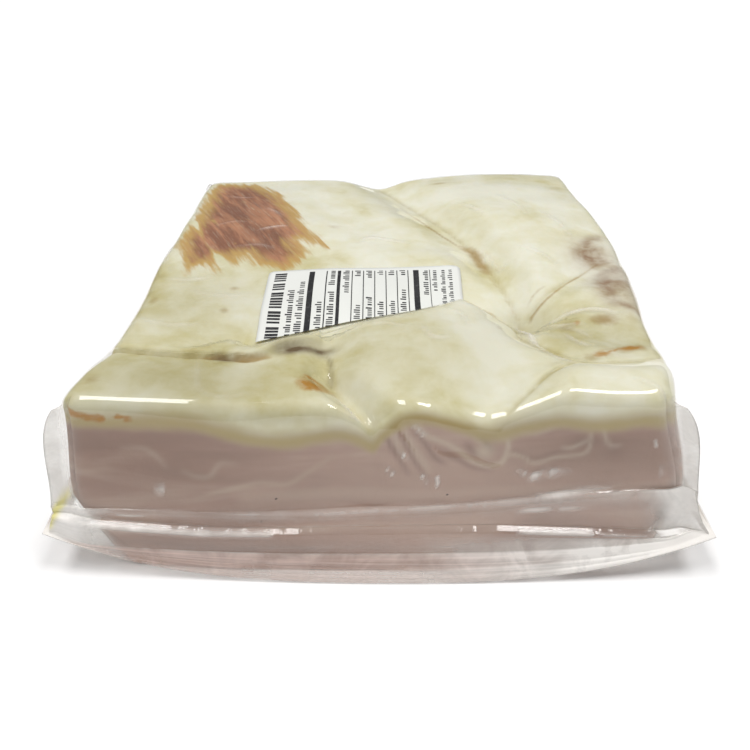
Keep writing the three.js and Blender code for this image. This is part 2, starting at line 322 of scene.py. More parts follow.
@dataclass(frozen=True)
class SlabForm:
    """The form that the slab and the bag over it share."""

    thickness: float = 55.0
    seam_height: float = 24.0
    edge_radius: float = 5.0
    foot_radius: float = 1.5
    settle: float = 1.0
    half: tuple[float, float, float] = (86.5, 105.0, 27.5)
    top: Outline = Outline((-94, -103.5), (86.5, -102), (99, 105), (-88, 97))
    seam: Outline = Outline((-95.5, -109), (95, -106), (100, 109), (-91, 101))
    base: Outline = Outline((-82, -111), (87, -109.5), (96, 106), (-87, 99))
    base_bow: float = 4.0
    roll: float = 1.9
    corner_radius: float = 7.0
    right_bulges: tuple[Bulge, ...] = (Bulge(0, 100, 8), Bulge(-73, 30, 3.5))
    left_bulges: tuple[Bulge, ...] = (Bulge(-55, 58, -5), Bulge(25, 80, -2.2))
    mounds: tuple[Spot, ...] = (
        Spot((-45, 38), (48, 62), 3.0),
        Spot((62, 52), (40, 62), 6.0),
        Spot((12, -72), (42, 30), 4.5),
        Spot((-56, -90), (40, 16), 3.5),
        Spot((66, -94), (34, 13), 7.0),
    )
    tuck: Fold = Fold(
        trace((-41, -60), (-27, -54), (-6, -45.5), (16, -34.5), (29, -27), (35, -28.5), (41, -35),
              (47, -41), (54, -43)), (6, 8), (15, 6))
    flap: Fold = Fold(
        trace((-98, -67.5), (-84, -69), (-73.5, -70.5), (-57, -72.3), (-47, -74), (-42, -75), (-36, -72),
              (-30, -66), (-20, -62)), (0.8, 4.0), (1.3, 11))
    folds: tuple[Fold, ...] = (
        Fold(trace((-4, 106), (2, 95), (25, 49.5), (38, 21), (46, -2), (51, -26), (54, -43)),
             (4, 8), (10, 13)),
        Fold(trace((54, -43), (56, -33), (63.5, -25.5), (73, -17), (82, -9), (94, -1), (110, 8)),
             (5, 1.5), (9, 9)),
        Fold(trace((54, -43), (64, -55), (80, -58), (104, -62)), (5, 1.5), (14, 11)),
        Fold(trace((54, -43), (50, -57), (58, -66), (66, -77)), (5, 3.5), (8, 7)),
        Fold(trace((34, -108), (38, -100), (44.5, -94), (51, -87.5), (58, -82.5), (64, -79), (77, -77.5),
                   (92, -74), (99, -72)), (4, 1.5), (9, 7)),
        Fold(trace((-18, -64), (-16, -74), (-15, -84), (-10, -93), (-3.5, -100), (3, -108)),
             (6, 6.5), (12, 6)),
    )
    fold_blend: float = 3.0
    front_edge: Path = Path((
        (-96, 57), (-85, 58.4), (-68, 57.7), (-52, 57), (-38, 56), (-23, 56), (-13, 55.6), (-7, 52.2),
        (-2, 49.0), (1, 51.5), (6, 55.5), (12, 56.2), (20, 54), (26, 52.3), (31, 51.4), (35, 52.4),
        (40, 54.7), (45, 57.0), (50, 59.3), (54, 60.3), (60, 59.8), (66, 59.3), (72, 59.2), (78, 59.2),
        (84, 58), (94, 55)), 175)
    front_reach: Point = (64.0, 101.0)
    front_slant: Point = (0.7, -0.4)
    slant_span: Point = (0.0, 32.0)
    creases: tuple[Mark, ...] = (
        Mark(trace((2, 95), (25, 49.5), (38, 21), (46, -2), (51, -26), (53, -40)), 1.2, 0.8, 0.3),
        Mark(trace((-94, -68), (-84, -69), (-73.5, -70.5), (-57, -72.3), (-47, -74),
                   (-42, -75)), 0.9, 1.4, 0.2),
        Mark(trace((-41, -60), (-6, -45.5), (16, -34.5), (29, -27), (35, -28.5), (41, -35), (47, -41),
                   (54, -43)), 1.2, 1.3),
        Mark(trace((55, -36), (63.5, -25.5), (73, -17), (84, -8)), 1.0, 0.8, 0.5),
        Mark(trace((50, -44), (49, -57), (58, -66), (66, -77)), 1.0, 1.3, 0.4),
        Mark(trace((38, -100), (44.5, -94), (51, -87.5), (58, -82.5), (64, -79), (77, -77.5),
                   (92, -74)), 1.0, 1.3, 0.3),
        Mark(trace((-15, -82), (-10, -93), (-3.5, -100), (1, -106)), 1.5, 1.2, 0.3),
    )
    calm_front: Point = (82.0, 97.0)
    top_lumps: tuple[Ripple, ...] = (Ripple(46, 0.4, 3), Ripple(22, 0.10, 5))
    wall_lumps: tuple[Ripple, ...] = (Ripple(60, 0.4, 7), Ripple(26, 0.15, 9))
    wall_slant: float = 0.7
    foot_span: Point = (-0.6, 0.0)
    inset: float = 0.3

    @property
    def seam_level(self) -> float:
        """The seam's share of the height."""
        return self.seam_height / self.thickness

    @property
    def seam_place(self) -> float:
        """The seam's place up, from -1 at the base to 1 at the top."""
        return 2.0 * self.seam_level - 1.0

    def from_corner(self, s: Array, t: Array) -> Array:
        """Gives how far places of the rim are from their upright corner."""
        return np.where(np.abs(s) < np.abs(t), (1.0 - np.abs(s)) * self.half[0],
                        (1.0 - np.abs(t)) * self.half[1])

    def top_height(self, x: Array, y: Array) -> Array:
        """Gives the height of the slab's top over plan points."""
        folds = (*self.folds, self.tuck, self.flap)
        depths = sum(fold.at(x, y) ** self.fold_blend for fold in folds)
        height = self.thickness + heap(self.mounds, x, y) - depths ** (1.0 / self.fold_blend)
        edge = self.front_edge.line()
        behind = np.clip(y + self.front_reach[1], 0.0, None)
        beside = x + behind * lerp(*self.front_slant, smoothstep(x, *self.slant_span))
        return lerp(height, np.interp(beside, edge[:, 0], edge[:, 1]), smoothstep(-y, *self.front_reach))

    def lumps(self, x: Array, y: Array) -> Array:
        """Gives the top's soft unevenness, which fades towards the front edge."""
        calm = 1.0 - smoothstep(-y, *self.calm_front)
        return sum(lump.at(x, y) for lump in self.top_lumps) * calm - self.inset

    def plan(self, s: Array, t: Array, level: Array) -> tuple[Array, Array]:
        """Gives the slab's plan at a share of its height.

        Args:
            s: Place across, from -1 to 1.
            t: Place along, from -1 to 1.
            level: Share of the height, from 0 at the base to 1 at the top.

        Returns:
            The x and y of each point.
        """
        s, t = self.round_corners(s, t)
        up = smoothstep(level, self.seam_level, 1.0)
        down = np.clip(1.0 - level / self.seam_level, 0.0, 1.0)
        rolled = 1.0 - (1.0 - down) ** self.roll
        (seam_x, seam_y), (top_x, top_y), (base_x, base_y) = (
            outline.at(s, t) for outline in (self.seam, self.top, self.base))
        base_y = base_y - self.base_bow * (1.0 - s * s) * np.clip(-t, 0.0, 1.0) ** 2
        x = np.where(level > self.seam_level, lerp(seam_x, top_x, up), lerp(seam_x, base_x, down))
        y = np.where(level > self.seam_level, lerp(seam_y, top_y, up), lerp(seam_y, base_y, rolled))
        right, left = (sum(bulge.out(y) for bulge in side) for side in (self.right_bulges, self.left_bulges))
        return x + s * np.where(s > 0, right, left), y

    def round_corners(self, s: Array, t: Array) -> tuple[Array, Array]:
        """Rounds the plan's square corners off.

        Args:
            s: Place across, from -1 to 1.
            t: Place along, from -1 to 1.

        Returns:
            The places with those near a corner drawn in.
        """
        near = [self.corner_radius - (1.0 - np.abs(place)) * half for place, half in zip((s, t), self.half)]
        inside = np.clip(near, 0.0, None)
        spread = np.maximum(np.hypot(*inside), 1e-9)
        keep = np.where((near[0] > 0.0) & (near[1] > 0.0), np.maximum(*inside) / spread, 1.0)
        drawn = [(1.0 - keep) * part / half for part, half in zip(inside, self.half)]
        return s - np.sign(s) * drawn[0], t - np.sign(t) * drawn[1]

    def surface(self, s: Array, t: Array, w: Array, margin: float,
                relief: Callable[[Array, Array], Array],
                front: Callable[[Array, Array], Array]) -> tuple[Array, Array]:
        """Lays points of a block out on the slab.

        Args:
            s: Place across, from -1 to 1.
            t: Place along, from -1 to 1.
            w: Place up, from -1 to 1.
            margin: How far the surface stands off the slab.
            relief: Extra height of the top over plan points.
            front: How far the front face stands out, by its x and z.

        Returns:
            The points in millimetres, and the depth of each below the top over it.
        """
        half = np.array(self.half)
        flat = np.stack([s, t, w], axis=-1) * half
        radius = lerp(self.foot_radius, self.edge_radius, smoothstep(w, *self.foot_span))[:, None]
        core = np.clip(flat, radius - half, half - radius)
        out = flat - core
        out = out / np.linalg.norm(out, axis=-1, keepdims=True)
        block = (core + out * radius) / half
        level = (block[:, 2] + 1.0) / 2.0
        x, y = self.plan(block[:, 0], block[:, 1], level)
        height = self.top_height(x, y) + self.lumps(x, y) + relief(x, y)
        z = level * (height + self.settle) - self.settle
        depth = height - z
        sway = sum(lump.at(x + self.wall_slant * y, z) for lump in self.wall_lumps) - self.inset
        upright = 1.0 - np.abs(out[:, 2])
        push = margin + sway * upright
        x = x + out[:, 0] * push
        y = y + out[:, 1] * push - np.clip(-out[:, 1], 0.0, 1.0) * front(x, z)
        z = z + out[:, 2] * margin
        return np.stack([x, y, z], axis=-1), depth


class Stage(Enum):
    """Which part of a pouch a ring of its rim belongs to."""

    UPPER_WALL = auto()
    SKIRT_TOP = auto()
    SKIRT_UNDER = auto()
    LOWER_WALL = auto()
    BASE = auto()


@dataclass(frozen=True)
class Ring:
    """One ring of a pouch below its top sheet."""

    stage: Stage
    share: float


@dataclass
class Pouch:
    """A square sheet whose rim is drawn down in rings and closed below.

    Until it is laid out, a vertex holds its column, its row and minus its ring.
    """

    across: Array
    along: Array
    rings: Sequence[Ring]
    mesh: bmesh.types.BMesh = field(default_factory=bmesh.new)

    @classmethod
    def over(cls, form: SlabForm, columns: int, rows: int, rings: Sequence[Ring]) -> Pouch:
        """Draws a pouch with closer places where the slab rounds over.

        Args:
            form: The slab's form.
            columns: How many steps the sheet has across.
            rows: How many steps the sheet has along.
            rings: The rings of its rim.

        Returns:
            The pouch, drawn but not laid out.
        """
        pouch = cls(stations(form.half[0], columns), stations(form.half[1], rows), rings)
        pouch.draw()
        return pouch

    def draw(self) -> None:
        """Makes the sheet, its rings and the closing face."""
        columns, rows = len(self.across) - 1, len(self.along) - 1
        bmesh.ops.create_grid(self.mesh, x_segments=columns, y_segments=rows, size=1.0)
        rim = [edge for edge in self.mesh.edges if edge.is_boundary]
        for _ in self.rings:
            made = bmesh.ops.extrude_edge_only(self.mesh, edges=rim)["geom"]
            verts = {item for item in made if isinstance(item, bmesh.types.BMVert)}
            rim = [item for item in made if isinstance(item, bmesh.types.BMEdge)
                   and item.verts[0] in verts and item.verts[1] in verts]
            bmesh.ops.translate(self.mesh, verts=list(verts), vec=(0.0, 0.0, -1.0))
        bmesh.ops.edgeloop_fill(self.mesh, edges=rim)

    def places(self) -> tuple[Array, Array, Array]:
        """Reads each vertex's place across, its place along and its ring."""
        spots = np.array([vert.co for vert in self.mesh.verts])
        column = np.rint((spots[:, 0] + 1.0) / 2.0 * (len(self.across) - 1)).astype(int)
        row = np.rint((spots[:, 1] + 1.0) / 2.0 * (len(self.along) - 1)).astype(int)
        return self.across[column], self.along[row], np.rint(-spots[:, 2]).astype(int)

    def lay(self, points: Array) -> None:
        """Moves each vertex to its point, given in millimetres."""
        for vert, point in zip(self.mesh.verts, points * MM):
            vert.co = point
        bmesh.ops.recalc_face_normals(self.mesh, faces=self.mesh.faces[:])


def finish_piece(name: str, mesh: bmesh.types.BMesh, materials: Sequence[bpy.types.Material],
                 fields: dict[str, Array] | None = None) -> bpy.types.Object:
    """Turns a bmesh into a smooth object at the origin.

    Args:
        name: The piece's name.
        mesh: Its shape in metres.
        materials: Its materials in slot order.
        fields: Values by vertex that its materials read.

    Returns:
        The new object.
    """
    data = bpy.data.meshes.new(name)
    mesh.to_mesh(data)
    mesh.free()
    for face in data.polygons:
        face.use_smooth = True
    for key, values in (fields or {}).items():
        layer = data.attributes.new(key, "FLOAT", "POINT")
        layer.data.foreach_set("value", np.asarray(values, dtype=np.float32))
    for material in materials:
        data.materials.append(material)
    piece = bpy.data.objects.new(name, data)
    bpy.context.scene.collection.objects.link(piece)
    return piece


# Finishes

Value = float | Sequence[float] | bpy.types.NodeSocket


class Graph:
    """The node graph of one material."""

    def __init__(self, name: str) -> None:
        """Starts an empty graph.

        Args:
            name: The material's name.
        """
        self.material = bpy.data.materials.new(name)
        self.material.use_nodes = True
        self.tree = self.material.node_tree
        self.tree.nodes.clear()

    def node(self, kind: str, values: dict[str | int, Value] | None = None,
             **settings: object) -> bpy.types.Node:
        """Adds a node.

        Args:
            kind: The node's type name.
            values: What goes into its inputs, as numbers or as another node's output.
            settings: The node's own properties.

        Returns:
            The new node.
        """
        made = self.tree.nodes.new(kind)
        for key, setting in settings.items():
            setattr(made, key, setting)
        for key, value in (values or {}).items():
            if isinstance(value, bpy.types.NodeSocket):
                self.tree.links.new(value, made.inputs[key])
            else:
                made.inputs[key].default_value = value
        return made

    def place(self) -> bpy.types.NodeSocket:
        """Gives the object's own coordinates, in metres."""
        return self.node("ShaderNodeTexCoord").outputs["Object"]

    def read(self, name: str) -> bpy.types.NodeSocket:
        """Reads a value that the mesh holds by vertex."""
        return self.node("ShaderNodeAttribute", attribute_name=name).outputs["Fac"]

    def turn(self, vector: Value, scale: Sequence[float], turn: float = 0.0) -> bpy.types.NodeSocket:
        """Turns coordinates about Z and then scales them."""
        turned = self.node("ShaderNodeMapping", {"Vector": vector, "Rotation": (0.0, 0.0, turn)})
        return self.node("ShaderNodeMapping", {"Vector": turned.outputs[0], "Scale": scale}).outputs[0]

    def noise(self, vector: Value, scale: float, detail: float = 3.0, rough: float = 0.5,
              warp: float = 0.0) -> bpy.types.NodeSocket:
        """Adds soft noise between 0 and 1."""
        values = {"Vector": vector, "Scale": scale, "Detail": detail, "Roughness": rough, "Distortion": warp}
        return self.node("ShaderNodeTexNoise", values).outputs["Fac"]

    def sum(self, operation: str, first: Value, second: Value = 0.0, third: Value = 0.0,
            clamp: bool = False) -> bpy.types.NodeSocket:
        """Works a sum on numbers, named as the node names it."""
        values = {0: first, 1: second, 2: third}
        return self.node("ShaderNodeMath", values, operation=operation, use_clamp=clamp).outputs[0]

    def rise(self, value: Value, low: float, high: float, start: float = 0.0,
             end: float = 1.0) -> bpy.types.NodeSocket:
        """Rises smoothly from start to end as a value goes from low to high."""
        values = {"Value": value, "From Min": low, "From Max": high, "To Min": start, "To Max": end}
        return self.node("ShaderNodeMapRange", values, interpolation_type="SMOOTHSTEP").outputs[0]

    def ramp(self, value: Value, stops: Sequence[tuple[float, Colour]]) -> bpy.types.NodeSocket:
        """Turns a value into a colour by stops."""
        made = self.node("ShaderNodeValToRGB", {"Fac": value})
        elements = made.color_ramp.elements
        while len(elements) < len(stops):
            elements.new(1.0)
        for element, (position, colour) in zip(elements, stops):
            element.position = position
            element.color = colour
        return made.outputs["Color"]

    def blend(self, share: Value, under: Value, over: Value, mode: str = "MIX") -> bpy.types.NodeSocket:
        """Lays one colour over another by a share."""
        made = self.node("ShaderNodeMix", data_type="RGBA", blend_type=mode)
        for key, value in ((0, share), (6, under), (7, over)):
            if isinstance(value, bpy.types.NodeSocket):
                self.tree.links.new(value, made.inputs[key])
            else:
                made.inputs[key].default_value = value
        return made.outputs[2]

    def bump(self, height: Value, distance: float, strength: float = 1.0,
             under: bpy.types.NodeSocket | None = None) -> bpy.types.NodeSocket:
        """Turns heights into a normal, over another bump if there is one."""
        values = {"Height": height, "Distance": distance, "Strength": strength}
        if under is not None:
            values["Normal"] = under
        return self.node("ShaderNodeBump", values).outputs[0]

    def close(self, shader: bpy.types.Node) -> bpy.types.Material:
        """Sends a shader to the material's output."""
        self.node("ShaderNodeOutputMaterial", {"Surface": shader.outputs[0]})
        return self.material


@dataclass(frozen=True)
class CuredFatFinish:
    """Cured fat: cream on top, pink where it is cut, with lean, stains and yellow folds, and painted shade in
    its hollows, folds and lower parts.
    """

    white: Colour = paint(239, 237, 220)
    cream: Colour = paint(231, 227, 199)
    butter: Colour = paint(212, 204, 156)
    olive: Colour = paint(172, 155, 88)
    # Painted shade: the tone that the painted_shade spots multiply over the top where it would lie in shade.
    painted_shade_tone: Colour = paint(212, 209, 196)
    # Painted shade: the tone multiplied over the darker parts of the cut front face.
    shadow: Colour = paint(214, 205, 198)
    umber: Colour = paint(160, 124, 46)
    rust: Colour = paint(176, 120, 6)
    lean_deep: Colour = paint(136, 80, 52)
    lean_dark: Colour = paint(112, 62, 34)
    lean_pink: Colour = paint(190, 130, 94)
    lean_rim: Colour = paint(196, 159, 88)
    cut_pale: Colour = paint(204, 180, 165)
    cut_rose: Colour = paint(183, 152, 138)
    cut_grey: Colour = paint(166, 138, 124)
    cut_line: Colour = paint(176, 154, 94)
    tan: Colour = paint(184, 167, 127)
    vein: Colour = paint(206, 192, 172)
    # Painted shadow: the dark colour laid into the hollows and under the flap's overhang.
    painted_hollow_shadow: Colour = paint(98, 78, 48)
    tinge: Colour = paint(128, 80, 34)
    # Painted shade: dark lines in the furrows between the crumpled strands below the notch.
    furrow_shade: Colour = paint(140, 112, 100)
    speck: Colour = paint(38, 30, 26)
    fibre_turn: float = 1.10
    specular: float = 0.18
    subsurface: float = 0.14
    subsurface_scale: float = 0.004
    subsurface_radius: tuple[float, float, float] = (1.0, 0.75, 0.55)

    def top(self, graph: Graph, place: Value) -> bpy.types.NodeSocket:
        """Colours the slab's uncut top, with painted shade in its hollows and folds and on its shaded slopes.

        Args:
            graph: The material's graph.
            place: Object coordinates.

        Returns:
            The colour.
        """
        broad = graph.noise(place, 26.0, 3.0, 0.55, 0.4)
        fine = graph.noise(place, 110.0, 4.0, 0.6, 0.3)
        tone = graph.sum("MULTIPLY_ADD", fine, 0.5, graph.sum("MULTIPLY_ADD", broad, 1.0, -0.18))
        tone = graph.sum("MULTIPLY_ADD", graph.read("yellow"), 0.28, tone)
        stops = (0.40, self.white), (0.58, self.cream), (0.80, self.butter), (1.0, self.olive)
        colour = graph.ramp(tone, stops)
        # Olive along the crease bottoms: partly the fat's yellowing, partly painted shade in the creases.
        crease_tint_and_shade = graph.sum("MULTIPLY", graph.read("crease_tint_and_shade"), graph.rise(fine, 0.25, 0.7, 0.45, 1.0))
        colour = graph.blend(crease_tint_and_shade, colour, self.olive)
        blot = graph.sum("ADD", graph.read("stain"), graph.sum("MULTIPLY_ADD", fine, 0.9, -0.45))
        stained = graph.rise(graph.read("stain"), 0.02, 0.4)
        blot = graph.sum("MULTIPLY", graph.rise(blot, 0.12, 0.9), stained)
        colour = graph.blend(graph.sum("MULTIPLY", blot, 0.75), colour, self.umber)
        broken = graph.rise(fine, 0.3, 0.7, 0.45, 1.0)
        tinge = graph.sum("MULTIPLY", graph.read("tinge"), broken, clamp=True)
        colour = graph.blend(tinge, colour, self.tinge)
        # Painted shade: darkens the top's lower front block, forward slopes and hollows.
        colour = graph.blend(graph.read("painted_shade"), colour, self.painted_shade_tone, "MULTIPLY")
        # Painted shadow in the hollows and under the flap.
        patchy = graph.rise(fine, 0.3, 0.65, 0.6, 0.95)
        painted_hollow_shadow = graph.sum("MULTIPLY", graph.read("hollow_shadow"), patchy, clamp=True)
        return graph.blend(painted_hollow_shadow, colour, self.painted_hollow_shadow)

    def rusty(self, graph: Graph, place: Value, under: Value) -> bpy.types.NodeSocket:
        """Lays broken orange-brown marks over a colour.

        Args:
            graph: The material's graph.
            place: Object coordinates.
            under: The colour below.

        Returns:
            The colour with the marks on it.
        """
        patch = graph.noise(place, 110.0, 4.0, 0.6, 0.3)
        grain = graph.noise(place, 420.0, 2.0, 0.5, 0.5)
        red = graph.sum("ADD", graph.read("rust"), graph.sum("MULTIPLY_ADD", patch, 0.8, -0.4))
        red = graph.sum("MULTIPLY_ADD", grain, 0.8, graph.sum("ADD", red, -0.4))
        marked = graph.rise(graph.read("rust"), 0.02, 0.4)
        red = graph.sum("MULTIPLY", graph.rise(red, 0.1, 0.85), marked)
        return graph.blend(graph.sum("MULTIPLY", red, 0.9), under, self.rust)

    def fibres(self, graph: Graph, place: Value, scale: tuple[float, float, float], detail: float,
               warp: float) -> bpy.types.NodeSocket:
        """Adds noise that is drawn out along the lean's fibres.

        Args:
            graph: The material's graph.
            place: Object coordinates.
            scale: How fine the noise is along, across and up.
            detail: How many finer layers it has.
            warp: How far it is bent.

        Returns:
            The noise, between 0 and 1.
        """
        return graph.noise(graph.turn(place, scale, self.fibre_turn), 1.0, detail, 0.6, warp)

    def lean(self, graph: Graph, place: Value, under: Value) -> bpy.types.NodeSocket:
        """Lays fibrous lean meat over a colour.

        Args:
            graph: The material's graph.
            place: Object coordinates.
            under: The colour below.

        Returns:
            The colour with the lean on it.
        """
        strands = self.fibres(graph, place, (34.0, 260.0, 60.0), 4.0, 0.25)
        threads = self.fibres(graph, place, (90.0, 900.0, 160.0), 3.0, 0.2)
        tufts = self.fibres(graph, place, (44.0, 430.0, 90.0), 3.0, 0.3)
        ragged = graph.sum("MULTIPLY_ADD", tufts, 12.0, -6.0)
        edge = graph.sum("ADD", graph.read("lean"), ragged)
        cover = graph.rise(edge, -2.2, 2.0)
        inner = graph.sum("MULTIPLY_ADD", strands, 9.0, graph.sum("ADD", edge, -4.5))
        body = graph.rise(inner, 1.0, 9.5)
        meat = graph.blend(graph.rise(strands, 0.38, 0.62), self.lean_deep, self.lean_pink)
        meat = graph.blend(graph.sum("MULTIPLY", graph.read("deep"), 0.7), meat, self.lean_dark)
        meat = graph.blend(body, self.lean_rim, meat)
        meat = graph.blend(graph.rise(threads, 0.62, 0.78, 0.0, 0.3), meat, self.cream)
        cover = graph.sum("MULTIPLY", cover, graph.rise(threads, 0.2, 0.5, 0.72, 0.96))
        return graph.blend(cover, under, meat)

    def cut(self, graph: Graph, place: Value, under: Value) -> bpy.types.NodeSocket:
        """Lays the pink cut face over a colour, below the cream layer, with painted shade on its darker parts
        and in its furrows.

        Args:
            graph: The material's graph.
            place: Object coordinates.
            under: The colour of the layer above.

        Returns:
            The colour with the cut face on it.
        """
        wave = graph.noise(graph.turn(place, (22.0, 22.0, 40.0)), 1.0, 3.0, 0.55)
        depth = graph.sum("ADD", graph.read("depth"), graph.sum("MULTIPLY_ADD", wave, 7.0, -3.5))
        strata = graph.noise(graph.turn(place, (16.0, 16.0, 95.0)), 1.0, 4.0, 0.55, 0.8)
        drift = graph.noise(place, 24.0, 3.0, 0.5, 0.6)
        face = graph.ramp(strata, ((0.3, self.cut_grey), (0.5, self.cut_rose), (0.68, self.cut_pale)))
        face = graph.blend(graph.rise(drift, 0.3, 0.7, 0.0, 0.6), face, self.cut_rose)
        face = graph.blend(graph.read("pale"), face, self.cut_pale)
        # Painted shade on the front face, darker towards its left end and at its right.
        face = graph.blend(graph.read("painted_front_shade"), face, self.shadow, "MULTIPLY")
        # Painted shade in the furrows between the crumpled strands.
        face = graph.blend(graph.read("furrow_shade"), face, self.furrow_shade)
        face = graph.blend(graph.sum("MULTIPLY", graph.read("vein"), 0.75), face, self.vein)
        layer = graph.blend(graph.rise(depth, 1.0, 5.5, 0.0, 0.8), under, self.tan)
        line = graph.sum("MULTIPLY", graph.rise(depth, 4.0, 6.5), graph.rise(depth, 10.0, 6.5))
        face = graph.blend(graph.rise(depth, 5.5, 10.5), layer, face)
        return graph.blend(graph.sum("MULTIPLY", line, 0.6), face, self.cut_line)

    def material(self) -> bpy.types.Material:
        """Makes the material."""
        graph = Graph("cured_fat")
        place = graph.place()
        colour = self.top(graph, place)
        colour = self.lean(graph, place, colour)
        colour = self.rusty(graph, place, self.cut(graph, place, colour))
        specks = graph.rise(graph.read("speck"), 0.4, 0.8)
        colour = graph.blend(specks, colour, self.speck)
        grain = graph.noise(place, 420.0, 3.0, 0.6)
        pits = graph.noise(place, 130.0, 4.0, 0.55)
        normal = graph.bump(pits, 0.0006, 0.5, graph.bump(grain, 0.0002, 0.4))
        shader = graph.node("ShaderNodeBsdfPrincipled", {
            "Base Color": colour, "Roughness": graph.rise(pits, 0.2, 0.8, 0.42, 0.6), "Normal": normal,
            "Specular IOR Level": self.specular, "Subsurface Weight": self.subsurface,
            "Subsurface Scale": self.subsurface_scale, "Subsurface Radius": self.subsurface_radius,
        })
        return graph.close(shader)


@dataclass(frozen=True)
class ClearFilmFinish:
    """Clear glossy bag film, a little milky where it is doubled and stretched, with painted highlights drawn
    as white streaks of the same veil.
    """

    clear: Colour = paint(250, 250, 249)
    shine: Colour = paint(255, 255, 255)
    veil_and_highlight: Colour = paint(238, 234, 229)
    rose: Colour = paint(220, 198, 189)
    oil: Colour = paint(238, 230, 156)
    gloss: float = 0.06
    edge_power: float = 4.5
    edge_mirror: float = 0.5
    least_mirror: float = 0.055
    rib_scale: Point = (14.0, 30.0)

    def material(self) -> bpy.types.Material:
        """Makes the material."""
        graph = Graph("clear_film")
        place = graph.place()
        crinkle = graph.noise(place, 60.0, 2.0, 0.5, 1.2)
        fine = graph.noise(place, 240.0, 2.0, 0.5, 0.8)
        slack = graph.read("slack")
        teeth = graph.noise(place, 900.0, 2.0, 0.5)
        loose = graph.rise(slack, 0.0, 1.0, 0.4, 1.0)
        normal = graph.bump(graph.sum("MULTIPLY", crinkle, loose), 0.0003, 0.25)
        normal = graph.bump(graph.sum("MULTIPLY", fine, slack), 0.0003, 0.2, normal)
        normal = graph.bump(graph.sum("MULTIPLY", teeth, slack), 0.0001, 0.2, normal)
        facing = graph.node("ShaderNodeLayerWeight", {"Blend": 0.5, "Normal": normal}).outputs["Facing"]
        grazing = graph.sum("POWER", facing, self.edge_power)
        mirror = graph.sum("MULTIPLY_ADD", grazing, self.edge_mirror, self.least_mirror, clamp=True)
        through = graph.node("ShaderNodeBsdfTransparent", {"Color": self.clear})
        shine = graph.node("ShaderNodeBsdfGlossy", {
            "Color": self.shine, "Roughness": self.gloss, "Normal": normal})
        skin = graph.node("ShaderNodeMixShader", {0: mirror, 1: through.outputs[0], 2: shine.outputs[0]})
        cloud = graph.noise(place, 70.0, 4.0, 0.6, 0.8)
        uneven = graph.rise(cloud, 0.25, 0.75, 0.55, 1.2)
        # The haze field holds both the film's milkiness and painted highlight streaks.
        veil_and_highlight = graph.sum("MULTIPLY", graph.read("haze_and_highlight"), uneven, clamp=True)
        parts = graph.node("ShaderNodeSeparateXYZ", {0: place})
        along = graph.sum("MULTIPLY", parts.outputs["X"], self.rib_scale[0])
        across = graph.sum("MULTIPLY", graph.read("run"), self.rib_scale[1])
        ribbed = graph.node("ShaderNodeCombineXYZ", {0: along, 1: across}).outputs[0]
        ribs = graph.noise(ribbed, 1.0, 3.0, 0.6)
        ribs = graph.rise(ribs, 0.45, 0.68)
        veil_and_highlight = graph.sum("MULTIPLY_ADD", ribs, graph.read("lines"), veil_and_highlight, clamp=True)
        tint = graph.blend(graph.read("blush"), self.veil_and_highlight, self.rose)
        tint = graph.blend(graph.read("oil"), tint, self.oil)
        veil = graph.node("ShaderNodeBsdfPrincipled", {
            "Base Color": tint, "Roughness": 0.35, "Specular IOR Level": 0.3, "Normal": normal})
        both = graph.node("ShaderNodeMixShader", {0: veil_and_highlight, 1: skin.outputs[0], 2: veil.outputs[0]})
        return graph.close(both)


@dataclass(frozen=True)
class LabelPaperFinish:
    """Smooth white label paper with a faint tooth."""

    white: Colour = paint(235, 236, 232)
    shade: Colour = paint(219, 220, 214)

    def material(self) -> bpy.types.Material:
        """Makes the material."""
        graph = Graph("label_paper")
        place = graph.place()
        tooth = graph.noise(place, 900.0, 3.0, 0.6)
        colour = graph.blend(graph.noise(place, 60.0, 3.0), self.white, self.shade)
        shader = graph.node("ShaderNodeBsdfPrincipled", {
            "Base Color": colour, "Roughness": graph.rise(tooth, 0.2, 0.8, 0.34, 0.46),
            "Normal": graph.bump(tooth, 0.00005, 0.4), "Specular IOR Level": 0.4})
        return graph.close(shader)


@dataclass(frozen=True)
class LabelInkFinish:
    """Black print that thins a little where it takes unevenly."""

    black: Colour = paint(24, 24, 26)
    worn: Colour = paint(74, 74, 76)

    def material(self) -> bpy.types.Material:
        """Makes the material."""
        graph = Graph("label_ink")
        place = graph.place()
        wear = graph.rise(graph.noise(place, 700.0, 3.0, 0.6), 0.5, 0.8)
        shader = graph.node("ShaderNodeBsdfPrincipled", {
            "Base Color": graph.blend(wear, self.black, self.worn), "Roughness": 0.42,
            "Specular IOR Level": 0.4})
        return graph.close(shader)


@dataclass(frozen=True)
class FloorFinish:
    """Plain pale studio floor."""

    white: Colour = paint(252, 252, 252)

    def material(self) -> bpy.types.Material:
        """Makes the material."""
        graph = Graph("studio_floor")
        shader = graph.node("ShaderNodeBsdfPrincipled", {
            "Base Color": self.white, "Roughness": 0.9, "Specular IOR Level": 0.0})
        return graph.close(shader)


# The pieces

